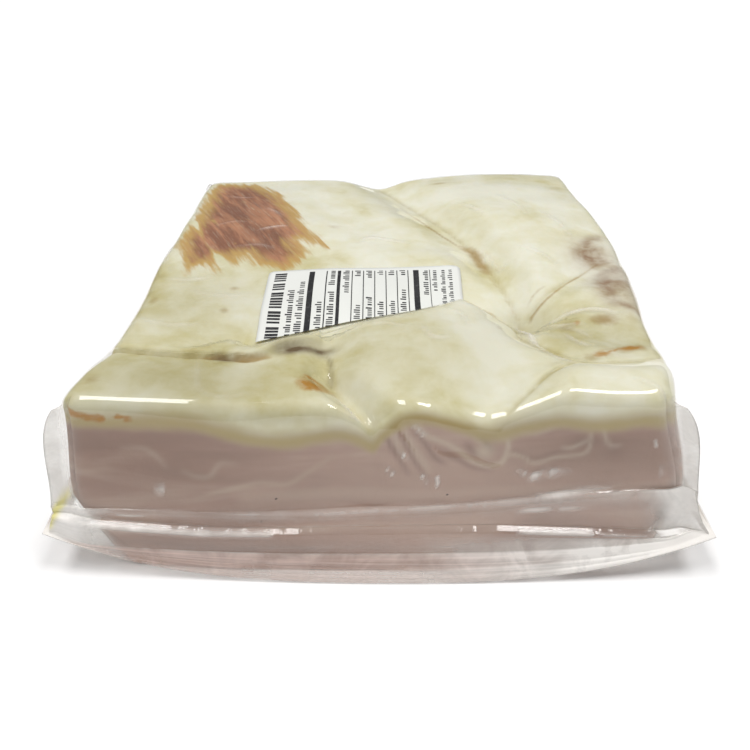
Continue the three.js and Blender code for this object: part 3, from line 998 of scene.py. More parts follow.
@dataclass
class FatSlab:
    """The slab of cured fat inside the bag."""

    form: SlabForm
    columns: int = 186
    rows: int = 204
    wall_rings: int = 66
    rounded: tuple[float, int] = (8.0, 10)
    base_shares: tuple[float, ...] = (0.985, 0.97, 0.95, 0.92)
    off_floor: float = 0.5
    ridge_height: float = 0.5
    front_inset: float = 0.4
    fine_lumps: Ripple = Ripple(7, 0.05, 13)
    no_lean: float = -20.0
    speck_radii: Point = (0.7, 0.5)
    front_ridges: tuple[Mark, ...] = (
        Mark(trace((-1, 51), (3, 47), (7, 40), (13, 32)), 1.6, 0.9, 0.6),
        Mark(trace((5, 50), (9, 43), (15, 34), (18, 31)), 1.5, 0.8, 0.6),
        Mark(trace((11, 48), (18, 40), (25, 39), (35, 35), (38, 39), (36, 46), (29, 49)), 1.5, 0.8, 0.3),
        Mark(trace((39, 38), (48, 37), (52, 42), (61, 44), (63, 41)), 1.5, 0.6, 0.5),
    )
    lean_patch: tuple[Point, ...] = (
        (-81, 91), (-73, 91), (-62, 89), (-54, 80), (-46, 70), (-41, 55), (-36, 45), (-34, 34), (-30, 26),
        (-25, 18), (-21, 8), (-27, 10), (-32, 15), (-29, 4), (-33, -9), (-36, -13), (-43, -10), (-48, -8),
        (-54, 2), (-56, -9), (-60, -5), (-64, -2), (-62, -15), (-66, -10), (-69, -8), (-73, -9), (-74, -17),
        (-78, -5), (-83, 9), (-86, 17), (-84, 27), (-82, 36), (-83, 52), (-84, 77),
    )
    lean_gaps: tuple[Mark, ...] = (
        Mark(trace((-82, 36), (-74, 18), (-67, 3), (-61, -9)), 1.1, 6.0),
        Mark(trace((-74, 38), (-68, 27), (-60, 12)), 0.9, 4.5),
    )
    stains: tuple[Mark | Spot, ...] = (
        Mark(trace((37, 19), (41, 13), (43, 3), (44, -3)), 3.0, 0.95, 0.4),
        Mark(trace((10, 69), (22, 42), (30, 27), (37, 17)), 1.3, 0.7, 0.6),
        Mark(trace((44, -3), (47, -14), (51, -28), (54, -40)), 1.3, 0.35, 0.3),
        Mark(trace((56, -38), (58, -34), (65, -27), (74, -17), (89, -3)), 0.9, 0.7, 0.5),
        Mark(trace((56, -30), (60, -24), (66, -19)), 0.9, 0.45, 0.6),
        Mark(trace((34, -27), (38, -31), (43, -35)), 2.0, 0.6, 0.3),
        Mark(trace((-46, -74), (-41.5, -75.2), (-35.5, -72.8)), 2.0, 1.0, 0.3),
        Mark(trace((-57, -72.4), (-52, -73.2), (-48, -74)), 1.4, 0.9, 0.3),
        Spot((-19, -89), (8, 4.5), 0.55),
        Spot((-19, 30), (4.0, 3.0), 0.55),
        Spot((-55, -43), (2.2, 2.0), 0.6),
        Spot((-54, -27), (2.6, 2.2), 0.5),
        Spot((-82, -36), (2.4, 3.2), 0.5),
        Spot((80, -47.5), (5.5, 3.6), 0.8),
        Mark(trace((69, -72), (76, -70), (87, -66)), 3.6, 0.5),
        Spot((32, 87), (5.0, 2.5), 0.45),
        Spot((41, -57), (1.6, 2.0), 0.45),
        Spot((-77, -85), (4.0, 3.0), 0.35),
        Spot((-85, -91), (3.5, 4.0), 0.4),
    )
    tinges: tuple[Mark | Spot, ...] = (
        Mark(trace((94, 17), (88, 12), (86, 6), (86, 0), (92, -2)), 3.6, 1.0, 0.5),
        Spot((88, 3), (9, 10), 1.0),
        Mark(trace((96, -7), (90, -14), (87, -20), (86, -28), (87, -36)), 5.2, 1.0, 0.4),
        Mark(trace((86, -34), (90, -39), (96, -44)), 2.6, 0.75, 0.4),
        Spot((93, -22), (9, 20), 0.75),
    )
    rusts: tuple[Mark | Spot, ...] = (
        Mark(trace((-23, -89), (-20, -91), (-16, -90)), 3.0, 0.8, 0.4),
        Mark(trace((-22, -85), (-17, -87)), 1.4, 0.7, 0.3),
        Spot((72.5, -71), (2.6, 2.0), 0.85),
        Mark(trace((75, -70), (78, -69)), 0.8, 0.7),
        Mark(trace((80, -68), (84, -66.5), (87, -65.5)), 2.0, 0.9, 0.3),
        Spot((70, -49), (1.5, 1.6), 0.6),
    )
    front_rusts: tuple[Mark, ...] = (
        Mark(trace((-88.5, 54.0), (-84.5, 52.9), (-80.1, 52.2)), 1.35, 1.0),
        Mark(trace((-75.4, 53), (-74.4, 52.8)), 0.8, 0.9),
        Mark(trace((-72.8, 52.2), (-71.8, 52)), 0.9, 0.9),
    )
    yellows: tuple[Spot, ...] = (
        Spot((-60, -92), (42, 18), 0.45),
        Spot((-22, -78), (12, 16), 1.0),
        Spot((40, -98), (30, 6), 0.3),
        Spot((78, -60), (20, 12), 0.5),
        Spot((48, 0), (10, 30), 0.4),
        Spot((40, 90), (30, 10), 0.4),
        Spot((-86, -20), (8, 40), 0.5),
        Spot((-15, 62), (46, 34), -0.45),
        Spot((38, 72), (20, 24), -0.45),
        Spot((6, -103), (18, 4), 0.4),
        Spot((14, -68), (36, 22), -0.5),
        Spot((66, -90), (28, 8), 0.1),
    )
    # Painted shade on the top: spots over the front-left block, the forward slope, the basin, the pit and the
    # middle mass.
    painted_shade_spots: tuple[Spot, ...] = (
        Spot((-60, -90), (40, 19), 1.0),
        Spot((-68, -38), (36, 30), 0.55),
        Spot((72, -58), (26, 16), 0.6),
        Spot((54, -43), (10, 13), 0.9),
        Spot((10, -76), (46, 26), 0.45),
    )
    pales: tuple[Mark | Spot, ...] = (
        Spot((22, 34), (60, 16), 0.35),
        Mark(trace((-40, 26), (0, 26), (45, 26.5), (92, 27)), 3.4, 0.65),
    )
    veins: tuple[Mark | Spot, ...] = (
        Mark(trace((-2.4, 52.4), (1.8, 51.9), (4.8, 45.5), (7.8, 38.8)), 0.9, 0.7, 0.6),
        Mark(trace((6.1, 51.9), (8.4, 46.4), (11.4, 40.8), (15.3, 34.9)), 0.9, 0.7, 0.6),
        Mark(trace((10.4, 50.5), (14.1, 46.4), (21.6, 42.7), (28.5, 37.4), (33.1, 35.9), (36.7, 36.9),
                   (38.1, 40.8), (37.6, 45), (31.3, 47.8), (25, 49.6)), 0.8, 0.8),
        Mark(trace((25, 49.6), (28.6, 45), (30.6, 42.7), (31, 38.8)), 0.7, 0.6, 0.5),
        Spot((31.5, 40.5), (2.6, 2.4), 0.9),
        Mark(trace((38.6, 39.8), (43.1, 38.8), (46.3, 36.9), (52.7, 38.8), (60.6, 39.8), (62.3, 42.7),
                   (62, 46.4)), 0.7, 0.55),
        Mark(trace((62, 45), (57.3, 42.2), (54.4, 42.2)), 0.8, 0.6, 0.4),
        Mark(trace((61.6, 50.5), (64.9, 50.1), (66.5, 45.5), (68.5, 42.7), (71, 42.7)), 0.8, 0.5, 0.4),
        Mark(trace((37.7, 47.8), (43.6, 46.9), (47.8, 47.3), (53.7, 51)), 0.8, 0.5, 0.5),
        Mark(trace((64.4, 51), (70.3, 50.1), (75.9, 50.5), (80.3, 52.8)), 0.8, 0.5, 0.4),
        Mark(trace((-75, 42.7), (-68.7, 42.7), (-64.8, 39.8), (-63, 36.9)), 0.9, 0.35, 0.6),
        Mark(trace((-58, 35.9), (-54.6, 33.9), (-50.2, 33.9), (-46.7, 37.9),
                   (-42.3, 37.4)), 0.9, 0.35, 0.6),
        Mark(trace((-55, 25.8), (-46, 28.9), (-35.5, 30.9), (-28, 29.9), (-21, 33.9),
                   (-14, 38.8)), 0.9, 0.35, 0.6),
    )
    # Painted shade: dark lines in the furrows beside the crumpled strands below the notch.
    furrow_shade_marks: tuple[Mark | Spot, ...] = (
        Mark(trace((-5, 50), (0, 48), (5, 41), (9, 34)), 1.1, 0.7, 0.7),
        Mark(trace((3, 51), (7.5, 45), (11, 38), (15, 32)), 1.0, 0.6, 0.8),
        Mark(trace((9, 50), (13, 45), (17, 39), (20, 37)), 1.0, 0.6, 0.7),
        Mark(trace((15, 44), (22, 39.6), (28, 35.6), (34, 34.2)), 1.0, 0.5, 0.7),
        Mark(trace((27, 47), (31, 44.5), (33, 41)), 1.0, 0.7, 0.4),
        Mark(trace((26, 43), (29, 39.5)), 1.2, 0.6, 0.4),
        Mark(trace((40, 41), (46, 38.5), (52, 40.5), (58, 41.5)), 0.8, 0.5, 0.5),
        Spot((61, 44), (4, 2.2), 0.6),
        Spot((70, 41), (3, 3), 0.5),
    )
    # Painted shadow: dark lines and patches under the flap's overhanging edge and in the hollow beside the
    # label.
    hollow_shadow_marks: tuple[Mark | Spot, ...] = (
        Mark(trace((-94, -68.3), (-84, -69.4), (-73.5, -71), (-57, -72.8), (-47, -74.6)), 0.6, 0.5, 0.5),
        Mark(trace((-53, -73.2), (-49.5, -74.2), (-46.5, -74.8)), 1.7, 1.0, 0.4),
        Mark(trace((-31, -68), (-25, -67), (-17, -66)), 3.3, 1.5, 0.5),
        Mark(trace((-19, -65), (-16, -71), (-15, -77), (-15, -84)), 0.9, 0.6, 0.5),
    )
    lean_depths: tuple[Spot, ...] = (
        Spot((-48.6, 7.7), (8, 9), 1.0),
        Spot((-44, 18), (6, 9), 0.7),
        Spot((-53, 24), (7, 9), 0.8),
        Spot((-62, 45), (9, 14), 0.5),
        Spot((-70, 5), (5, 9), 0.4),
    )
    # Painted shade on the front face: spots at its left end and its right.
    front_shade_spots: tuple[Spot, ...] = (
        Spot((-70, 40), (46, 19), 1.0),
        Spot((66, 43), (30, 12), 0.8),
        Spot((-60, 16), (30, 8), 0.6),
    )
    layers: tuple[Spot, ...] = (
        Spot((-27, 0), (18, 900), 5.0),
        Spot((60, 0), (22, 900), 4.0),
        Spot((18, 0), (17, 900), -2.5),
    )
    specks: tuple[Point, ...] = ((-54, 28.4), (-48, 27.4), (-31, 24.6), (-36, 18.0), (13, 26.0), (21, 26.4))

    def relief(self, x: Array, y: Array) -> Array:
        """Gives the fine height of the top: sharp creases and small lumps."""
        return self.fine_lumps.at(x, y) - gather(self.form.creases, x, y)

    def front(self, x: Array, z: Array) -> Array:
        """Gives how far the front face stands out: crumpled strands below the notch."""
        return self.ridge_height * heap(self.front_ridges, x, z) - self.front_inset

    def fields(self, points: Array, depth: Array) -> dict[str, Array]:
        """Works out the values by vertex that the finish reads.

        Args:
            points: The vertices in millimetres.
            depth: The depth of each below the top.

        Returns:
            Each field's values.
        """
        x, y, z = points.T
        upper = 1.0 - smoothstep(depth, 3.0, 8.0)
        lean = inside_patch(self.lean_patch, x, y) - heap(self.lean_gaps, x, y)
        front = in_front(y)
        rust = np.maximum(gather(self.rusts, x, y) * upper, gather(self.front_rusts, x, z) * front)
        speck = gather([Spot(at, self.speck_radii) for at in self.specks], x, z) * front
        return {
            "depth": depth - heap(self.layers, x, z) * smoothstep(depth, 0.5, 4.0),
            "painted_front_shade": gather(self.front_shade_spots, x, z) * front,
            "vein": gather(self.veins, x, z) * front,
            "furrow_shade": gather(self.furrow_shade_marks, x, z) * front,
            "hollow_shadow": gather(self.hollow_shadow_marks, x, y) * upper,
            "deep": gather(self.lean_depths, x, y),
            "lean": lerp(self.no_lean, lean, upper),
            # Partly the fat's yellowing, partly painted shade in the creases.
            "crease_tint_and_shade": np.clip(gather(self.form.creases, x, y) * 0.5, 0.0, 1.0) * upper,
            "stain": gather(self.stains, x, y) * upper,
            "tinge": gather(self.tinges, x, y) * upper,
            "rust": rust,
            "yellow": heap(self.yellows, x, y),
            "painted_shade": np.clip(gather(self.painted_shade_spots, x, y), 0.0, 1.3) * upper,
            "speck": speck,
            "pale": np.clip(gather(self.pales, x, z), 0.0, 1.0) * front,
        }

    def build(self, finish: CuredFatFinish) -> bpy.types.Object:
        """Makes the slab.

        Args:
            finish: The fat's finish.

        Returns:
            The slab's object.
        """
        levels = stations(self.form.half[2], self.wall_rings, *self.rounded)[::-1]
        rings = [Ring(Stage.UPPER_WALL, float(level)) for level in levels[1:]]
        rings += [Ring(Stage.BASE, share) for share in self.base_shares]
        pouch = Pouch.over(self.form, self.columns, self.rows, rings)
        s, t, ring = pouch.places()
        up = np.array([1.0] + [r.share if r.stage is Stage.UPPER_WALL else -1.0 for r in rings])[ring]
        shrink = np.array([1.0] + [r.share if r.stage is Stage.BASE else 1.0 for r in rings])[ring]
        points, depth = self.form.surface(s * shrink, t * shrink, up, 0.0, self.relief, self.front)
        points[:, 2] = np.maximum(points[:, 2], self.off_floor)
        pouch.lay(points)
        return finish_piece("fat_slab", pouch.mesh, [finish.material()], self.fields(points, depth))


@dataclass(frozen=True)
class WebProfile:
    """How the film at one upright corner curves from the slab's top to the bag's corner."""

    shoulder: float
    waist: float


@dataclass(frozen=True)
class FilmHazeAndHighlights:
    """How milky the film is in its places, from clear at 0 to white at 1, and where they are; the glint and
    gleam entries are painted highlights drawn as white veil, and the wrinkle entry is partly painted
    highlight.
    """

    web: float = 0.42
    web_span: Point = (0.5, 5.0)
    wall_foot: float = 0.22
    wall_foot_span: Point = (0.88, 1.0)
    upright: float = 0.2
    upright_span: Point = (2.0, 8.0)
    # Painted highlights: how white the wrinkle, glint and gleam streaks are.
    wrinkle: float = 0.8
    wrinkle_power: float = 1.6
    glint: float = 0.7
    gleam: float = 0.85
    oil: float = 0.5
    sheet: float = 0.03
    seam: Point = (0.2, 0.3)
    seam_at: Point = (0.044, 0.062)
    seam_across: Point = (-70.0, -10.0)
    ledge: float = 0.3
    ledge_at: Point = (0.656, 0.035)
    fall: float = 0.08
    fall_span: Point = (0.42, 0.52)
    outer: float = 0.3
    outer_span: Point = (0.588, 0.682)
    corner: float = 0.8
    corner_span: Point = (2.0, 16.0)
    right: Point = (0.04, 0.75)
    right_across: Point = (0.0, 85.0)
    blush_across: Point = (-10.0, 70.0)
    lines: Point = (0.06, 0.26)
    lines_fade: float = 0.7


@dataclass
class BagFilm:
    """The clear bag that clings to the slab, with its skirt and corner webs."""

    form: SlabForm
    columns: int = 180
    rows: int = 196
    margin: float = 0.4
    gap: float = 0.5
    outline: Outline = Outline((-103, -112), (103, -113.5), (105, 118.5), (-100, 116.5))
    bow_front: float = 6.0
    bow_right: float = 3.0
    bow_left: float = 5.5
    corner_height: float = 15.0
    corner_power: float = 3.2
    side_height: float = 12.0
    front_height: float = 0.6
    web_spread: float = 1.7
    web_power: float = 1.4
    web_steps: int = 60
    web_drop: float = 1.0
    upper_rings: int = 28
    close_rings: tuple[float, int] = (0.2, 7)
    under_rings: int = 5
    lower_rings: int = 3
    base_shares: tuple[float, ...] = (0.97, 0.92)
    haze_and_highlight: FilmHazeAndHighlights = FilmHazeAndHighlights()
    taut: float = 0.15
    web_slack: float = 0.6
    slack_span: Point = (0.3, 3.0)
    skirt_slack: float = 0.9
    quilts: tuple[Ripple, ...] = (Ripple(16, 0.07, 21), Ripple(7, 0.02, 23))
    front_quilt: Ripple = Ripple(18, 0.05, 27)
    crinkle_waves: tuple[tuple[Ripple, float], ...] = (
        (Ripple(16, 0.07, 51), 30.0), (Ripple(3.4, 0.025, 53), 26.0))
    crinkle_around: Point = (95.0, 105.0)
    crease_follow: float = 0.35
    off_slab: float = 0.12
    off_floor: Point = (0.05, 0.3)
    flange_height: float = 0.12
    flange_tuck: float = 2.0
    flange_ends: Point = (0.02, 0.16)
    front_left: WebProfile = WebProfile(0.9, 0.42)
    front_right: WebProfile = WebProfile(0.83, 0.41)
    back_right: WebProfile = WebProfile(0.8, 0.7)
    back_left: WebProfile = WebProfile(0.8, 0.7)
    drop: tuple[tuple[float, float, int], ...] = (
        (0, 1, 0), (0.10, 0.975, 3), (0.19, 0.89, 3), (0.265, 0.765, 3), (0.293, 0.718, 2),
        (0.30, 0.7167, 1), (0.506, 0.6793, 5), (0.513, 0.678, 1), (0.535, 0.59, 2), (0.561, 0.43, 3),
        (0.59, 0.365, 2), (0.63, 0.345, 2), (0.75, 0.235, 3), (0.79, 0.175, 2), (0.86, 0.155, 3),
        (0.90, 0.085, 2), (0.96, 0.064, 3), (1, 0, 2))
    ledge: Point = (0.293, 0.513)
    fall_level: float = 0.678
    usual_reach: float = 11.0
    most_reach: float = 1.9
    tip_span: Point = (0.88, 0.98)
    slope_probe: float = 0.015
    ledge_sway: Path = Path((
        (-100, 2.2), (-88, 2.0), (-70, 0.7), (-52, -0.5), (-40, -0.9), (-28, -0.8), (-5, 0), (30, 0),
        (42, -0.4), (57, -1.6), (72, -3.0), (86, -4.4), (100, -5)), 96)
    sway_level: Point = (0.7, 0.16)
    seam_sway: Path = Path((
        (-100, -1.2), (-80, -1.6), (-30, -2.8), (0, -1.8), (20, -0.8), (35, 0), (49, 1.5), (70, 3.2),
        (92, 4.3), (100, 4.5)), 80)
    seam_span: Point = (0.72, 1.0)
    seam_gap: float = 0.3
    low_wall: float = 0.35
    last_wall: Point = (0.55, 1.0)
    low_seam_out: float = 0.45
    oil: Mark = Mark(trace((-92, 29), (-96.5, 24), (-99.5, 20), (-101, 17)), 1.1, 1.0, 0.3)
    oil_front: Point = (103.0, 107.0)
    oil_left: Point = (90.0, 94.0)
    oil_tint: float = 1.4
    # Painted highlights: white streaks of veil along the seam, the skirt's ledge and the bag's front-left
    # corner.
    gleams: tuple[Mark, ...] = (
        Mark(trace((42, 21.2), (47, 21.8), (53, 22)), 0.7, 0.85, 0.6),
        Mark(trace((54, 22.4), (62, 22.2), (70, 21.8)), 0.5, 0.7, 0.8),
        Mark(trace((46.6, 25.2), (58, 26.6), (70, 28.2)), 0.8, 0.8, 0.7),
        Mark(trace((-80, 20.9), (-76, 20.5), (-71, 20.7)), 0.45, 0.7, 0.5),
        Mark(trace((-91.5, 19.3), (-89, 18.9), (-87.6, 21), (-85.5, 21.8)), 0.55, 0.9, 0.4),
        Mark(trace((-88.6, 17.9), (-87.2, 20)), 0.45, 0.8, 0.4),
        Mark(trace((-88, 18.2), (-84, 18), (-70, 16.8), (-56, 15.8), (-42, 15.4),
                   (-33, 15.4)), 0.8, 0.95, 0.3),
        Mark(trace((43, 16), (50, 15.5), (57, 15), (66, 14.2)), 0.7, 0.85, 0.4),
        Mark(trace((68, 14.1), (76, 13.3), (86, 12.4)), 0.35, 0.6, 0.6),
    )
    flap_bridge: float = 0.85
    # Wrinkles raise the film; on the top they also whiten it, partly as slack film and partly as painted
    # highlight.
    wrinkles: tuple[Mark, ...] = (
        Mark(trace((58, -45), (68, -42), (80, -43), (86, -46)), 1.2, 0.7, 0.7),
        Mark(trace((58, -46), (64, -50), (72, -50)), 1.2, 0.6, 0.7),
        Mark(trace((53, -47), (61, -50), (69, -54), (73, -61)), 1.2, 0.5, 0.7),
        Mark(trace((64, -55), (66, -61), (70, -67)), 1.2, 0.6, 0.7),
        Mark(trace((51, -39), (50, -46), (52, -56), (54, -70), (61, -82)), 1.3, 0.8, 0.7),
        Mark(trace((44, 15), (47, 3), (50, -4), (53, -2)), 1.2, 0.5, 0.7),
        Mark(trace((36, 56), (43, 47), (48, 36)), 1.3, 0.5, 0.8),
        Mark(trace((-9, 11), (-3, 18), (6, 16), (14, 13)), 1.3, 0.5, 0.8),
        Mark(trace((14, -61), (18, -69), (24, -68)), 1.3, 0.5, 0.8),
        Mark(trace((-83, -20), (-72, -22), (-62, -19)), 1.3, 0.4, 0.8),
        Mark(trace((-56, -74), (-55, -86), (-52, -96), (-44, -98), (-36, -95)), 1.3, 0.3, 0.6),
        Mark(trace((-52, 51), (-47, 45), (-42, 38)), 1.2, 0.4, 0.8),
        Mark(trace((-51, 24), (-45, 26.3), (-39.6, 27.4)), 1.1, 0.7, 0.6),
        Mark(trace((-74, 70), (-66, 66), (-58, 66)), 1.2, 0.35, 0.8),
        Mark(trace((-72, 30), (-64, 34), (-56, 33)), 1.2, 0.35, 0.8),
        Mark(trace((-60, 8), (-50, 10), (-42, 6)), 1.2, 0.35, 0.8),
        Mark(trace((-14, -93), (-9, -99), (-4, -105)), 1.2, 0.6, 0.6),
        Mark(trace((76, -93), (80, -97), (83, -101)), 1.1, 0.5, 0.4),
        Mark(trace((-88, 20), (-86, 0), (-80, -14)), 1.3, 0.4, 0.7),
        Mark(trace((-70, -30), (-58, -34), (-46, -32)), 1.3, 0.35, 0.7),
        Mark(trace((-84, -50), (-72, -54), (-60, -52)), 1.3, 0.4, 0.7),
        Mark(trace((56, 60), (64, 46), (66, 34)), 1.3, 0.4, 0.7),
        Mark(trace((74, 40), (80, 26), (82, 14)), 1.3, 0.4, 0.7),
        Mark(trace((58, 8), (66, 0), (72, -8)), 1.2, 0.45, 0.7),
        Mark(trace((-12, -60), (0, -58), (10, -62)), 1.3, 0.4, 0.7),
        Mark(trace((20, -44), (28, -50), (30, -60)), 1.3, 0.4, 0.7),
    )
    # Painted highlights: short white glints of veil on the film over the front face.
    glints: tuple[Mark, ...] = (
        Mark(trace((3, 35.4), (4.2, 34.2)), 0.45, 0.9),
        Mark(trace((6.6, 42.4), (8.6, 39.6)), 0.35, 0.9),
        Mark(trace((10.4, 50.4), (13.4, 47)), 0.35, 0.9),
        Mark(trace((13.3, 34), (14.2, 32.4)), 0.4, 0.9),
        Mark(trace((17.6, 33.6), (17.9, 31.2)), 0.35, 0.9),
        Mark(trace((41.5, 35), (44, 33.8), (46.4, 33.3), (50, 34.8), (53, 34.4),
                   (57, 34.2)), 0.5, 1.0, 0.6),
        Mark(trace((81, 44.2), (81.6, 43.4)), 0.5, 0.9),
        Mark(trace((84.4, 36.5), (85.4, 32)), 0.4, 0.8),
        Mark(trace((-66.5, 29.6), (-64, 29.9)), 0.35, 0.7),
    )
    front_wrinkles: tuple[Mark, ...] = (
        Mark(trace((-1, 51), (3, 47), (7, 40), (13, 32)), 1.1, 0.9, 0.7),
        Mark(trace((2, 51), (6, 46), (9, 39), (12, 35)), 1.0, 0.7, 0.7),
        Mark(trace((5, 50), (9, 43), (15, 34), (18, 31)), 1.1, 0.9, 0.7),
        Mark(trace((11, 48), (18, 40), (25, 39), (35, 35), (38, 39), (36, 46), (29, 49)), 1.1, 0.8, 0.4),
        Mark(trace((39, 38), (48, 37), (52, 42), (61, 44), (63, 41)), 1.1, 0.5, 0.6),
        Mark(trace((42, 34), (46, 32.5), (51, 33.5), (57, 33)), 1.0, 0.8, 0.7),
    )

    def relief(self, x: Array, y: Array) -> Array:
        """Gives the film's height over the slab's own top: wrinkles and a soft quilting."""
        quilt = sum(wave.at(x, y) for wave in self.quilts)
        creased = self.crease_follow * gather(self.form.creases, x, y)
        creased = creased - self.flap_bridge * self.form.flap.at(x, y)
        calm = 1.0 - smoothstep(-y, *self.form.calm_front)
        return heap(self.wrinkles, x, y) + (quilt - creased) * calm + self.off_slab

    def front(self, x: Array, z: Array) -> Array:
        """Gives how far the film stands out in front."""
        return heap(self.front_wrinkles, x, z) + self.front_quilt.at(x, z)

    def rings(self) -> list[Ring]:
        """Lists the rings from the top sheet's rim round the skirt to the base."""
        seam = self.form.seam_place
        ends = stations(1.0, 2 * self.upper_rings, *self.close_rings)
        wall = [lerp(seam, 1.0, 1.0 + place) for place in ends[:self.upper_rings + 1]][::-1]
        made = [Ring(Stage.UPPER_WALL, float(level)) for level in wall[1:]]
        places = np.linspace(0.0, 1.0, len(self.drop))
        for start, end, (_, _, count) in zip(places[:-1], places[1:], self.drop[1:]):
            made += [Ring(Stage.SKIRT_TOP, float(lerp(start, end, i / count))) for i in range(1, count + 1)]
        made += [Ring(Stage.SKIRT_UNDER, 1.0 - i / self.under_rings) for i in range(self.under_rings + 1)]
        made += [Ring(Stage.LOWER_WALL, lerp(seam, -1.0, i / self.lower_rings))
                 for i in range(1, self.lower_rings + 1)]
        return made + [Ring(Stage.BASE, share) for share in self.base_shares]

    def edge(self, s: Array, t: Array) -> Array:
        """Gives the bag's outer edge beside each place of the rim."""
        x, y = self.outline.at(s, t)
        x = x + np.where(s > 0, self.bow_right, self.bow_left) * s * (1.0 - t * t)
        y = y + np.where(t > 0, 0.0, self.bow_front) * t * (1.0 - s * s)
        corner = np.minimum(np.abs(s), np.abs(t)) ** self.corner_power
        z = lerp(np.where(t <= -1.0, self.front_height, self.side_height), self.corner_height, corner)
        return np.stack([x, y, z], axis=-1)

    def seam_rise(self, x: Array, t: Array) -> Array:
        """Gives how far the front's seam lies above its usual height."""
        line = self.seam_sway.line()
        return np.where(t <= -1.0, np.interp(x, line[:, 0], line[:, 1]), 0.0)

    def skirt(self, s: Array, t: Array, out: Array) -> tuple[Array, Array]:
        """Lays out the middle of the skirt.

        Args:
            s: Place across, from -1 to 1.
            t: Place along, from -1 to 1.
            out: Share of the way from the slab to the bag's edge.

        Returns:
            The points, and the unit normals that face up and out.
        """
        root = np.stack(self.form.plan(s, t, np.full(s.shape, self.form.seam_level)), axis=-1)
        edge = self.edge(s, t)
        line = np.array(self.drop)
        place = np.linspace(0.0, 1.0, len(line))
        kept = np.clip(line[:, 0], *self.ledge) - self.ledge[0]
        spare = self.ledge[1] - self.ledge[0]
        away = edge[:, :2] - root
        reach = np.maximum(np.linalg.norm(away, axis=-1), 2.0 * spare * self.usual_reach)
        square = np.where(np.abs(t) >= np.abs(s), np.abs(away[:, 1]), np.abs(away[:, 0]))
        ledge_run = self.usual_reach * np.minimum(reach / np.maximum(square, 1.0), self.most_reach)
        tip = smoothstep(np.minimum(np.abs(s), np.abs(t)), *self.tip_span)
        sway_line = self.ledge_sway.line()
        sway = np.where(t <= -1.0, np.interp(root[:, 0], sway_line[:, 0], sway_line[:, 1]), 0.0)
        rise = self.seam_rise(root[:, 0], t)

        def hang(where: Array) -> tuple[Array, Array]:
            """Gives the run out and the height of the film at shares of its way."""
            level = np.interp(where, place, line[:, 1])
            lift = lerp(np.clip(1.0 - level / self.fall_level, 0.0, 1.0) ** 2, (1.0 - level) ** 2, tip)
            height = self.form.seam_height * level + edge[:, 2] * lift
            near = smoothstep(level, *self.seam_span)
            height = height + sway * bell(level, *self.sway_level) + rise * near
            run = np.interp(where, place, kept) * ledge_run
            run = run + self.low_seam_out * np.maximum(-rise, 0.0) * near
            rest = np.maximum(reach - spare * ledge_run, 1.0)
            return run + np.interp(where, place, line[:, 0] - kept) / (1.0 - spare) * rest, height

        run, height = hang(out)
        (run_in, high_in), (run_out, high_out) = (
            hang(out + step) for step in (-self.slope_probe, self.slope_probe))
        ahead, fall = run_out - run_in, high_out - high_in
        unit = away / reach[:, None]
        normal = np.stack([-fall * unit[:, 0], -fall * unit[:, 1], np.maximum(ahead, 1e-4)], axis=-1)
        normal = normal / np.linalg.norm(normal, axis=-1, keepdims=True)
        return np.concatenate([root + unit * run[:, None], height[:, None]], axis=-1), normal

    def crinkles(self, s: Array, t: Array, out: Array) -> Array:
        """Gives how far the skirt's small crinkles stand out of it."""
        run = s * self.crinkle_around[0] + t * self.crinkle_around[1]
        crinkle = sum(wave.at(run, out * reach) for wave, reach in self.crinkle_waves)
        return crinkle * np.sin(np.pi * np.clip(out, 0.0, 1.0)) ** 0.5

    def pull_webs(self, points: Array, s: Array, t: Array, share: Array) -> Array:
        """Draws the film out into a web at each upright corner.

        Args:
            points: The film's points.
            s: Place across of each.
            t: Place along of each.
            share: How far each point may be drawn, from 0 to 1.

        Returns:
            The points with the webs.
        """
        by_corner = {
            (-1, -1): (self.form.top.front_left, self.outline.front_left, self.front_left),
            (1, -1): (self.form.top.front_right, self.outline.front_right, self.front_right),
            (1, 1): (self.form.top.back_right, self.outline.back_right, self.back_right),
            (-1, 1): (self.form.top.back_left, self.outline.back_left, self.back_left),
        }
        points = points.copy()
        close = np.exp(-((self.form.from_corner(s, t) / self.web_spread) ** self.web_power)) * share
        tau = np.linspace(0.0, 1.0, self.web_steps)
        for (left, front), (corner, outer, profile) in by_corner.items():
            inner = np.array(corner) - np.sign(corner) * self.form.edge_radius
            way = np.array(outer) - inner
            reach = float(np.hypot(*way))
            top = float(self.form.top_height(*inner[:, None])[0]) - self.web_drop
            seam = self.form.seam_height
            far = reach * ((1 - tau) ** 3 + 3 * (1 - tau) ** 2 * tau * profile.waist
                           + 3 * (1 - tau) * tau**2 * profile.shoulder)
            high = ((1 - tau) ** 3 * self.corner_height + 3 * (1 - tau) ** 2 * tau * seam
                    + 3 * (1 - tau) * tau**2 * top + tau**3 * top)
            mine = (np.sign(s) == left) & (np.sign(t) == front)
            span = np.interp(points[mine, 2], high, far)
            target = inner + way / reach * span[:, None]
            own = (points[mine, :2] - inner) @ (way / reach)
            gain = np.clip(span - own, 0.0, 1.0) * close[mine]
            points[mine, :2] += (target - points[mine, :2]) * gain[:, None]
        return points

    def flat(self, x: Array, y: Array) -> Array:
        """Gives no relief at all."""
        return np.zeros(np.shape(x))

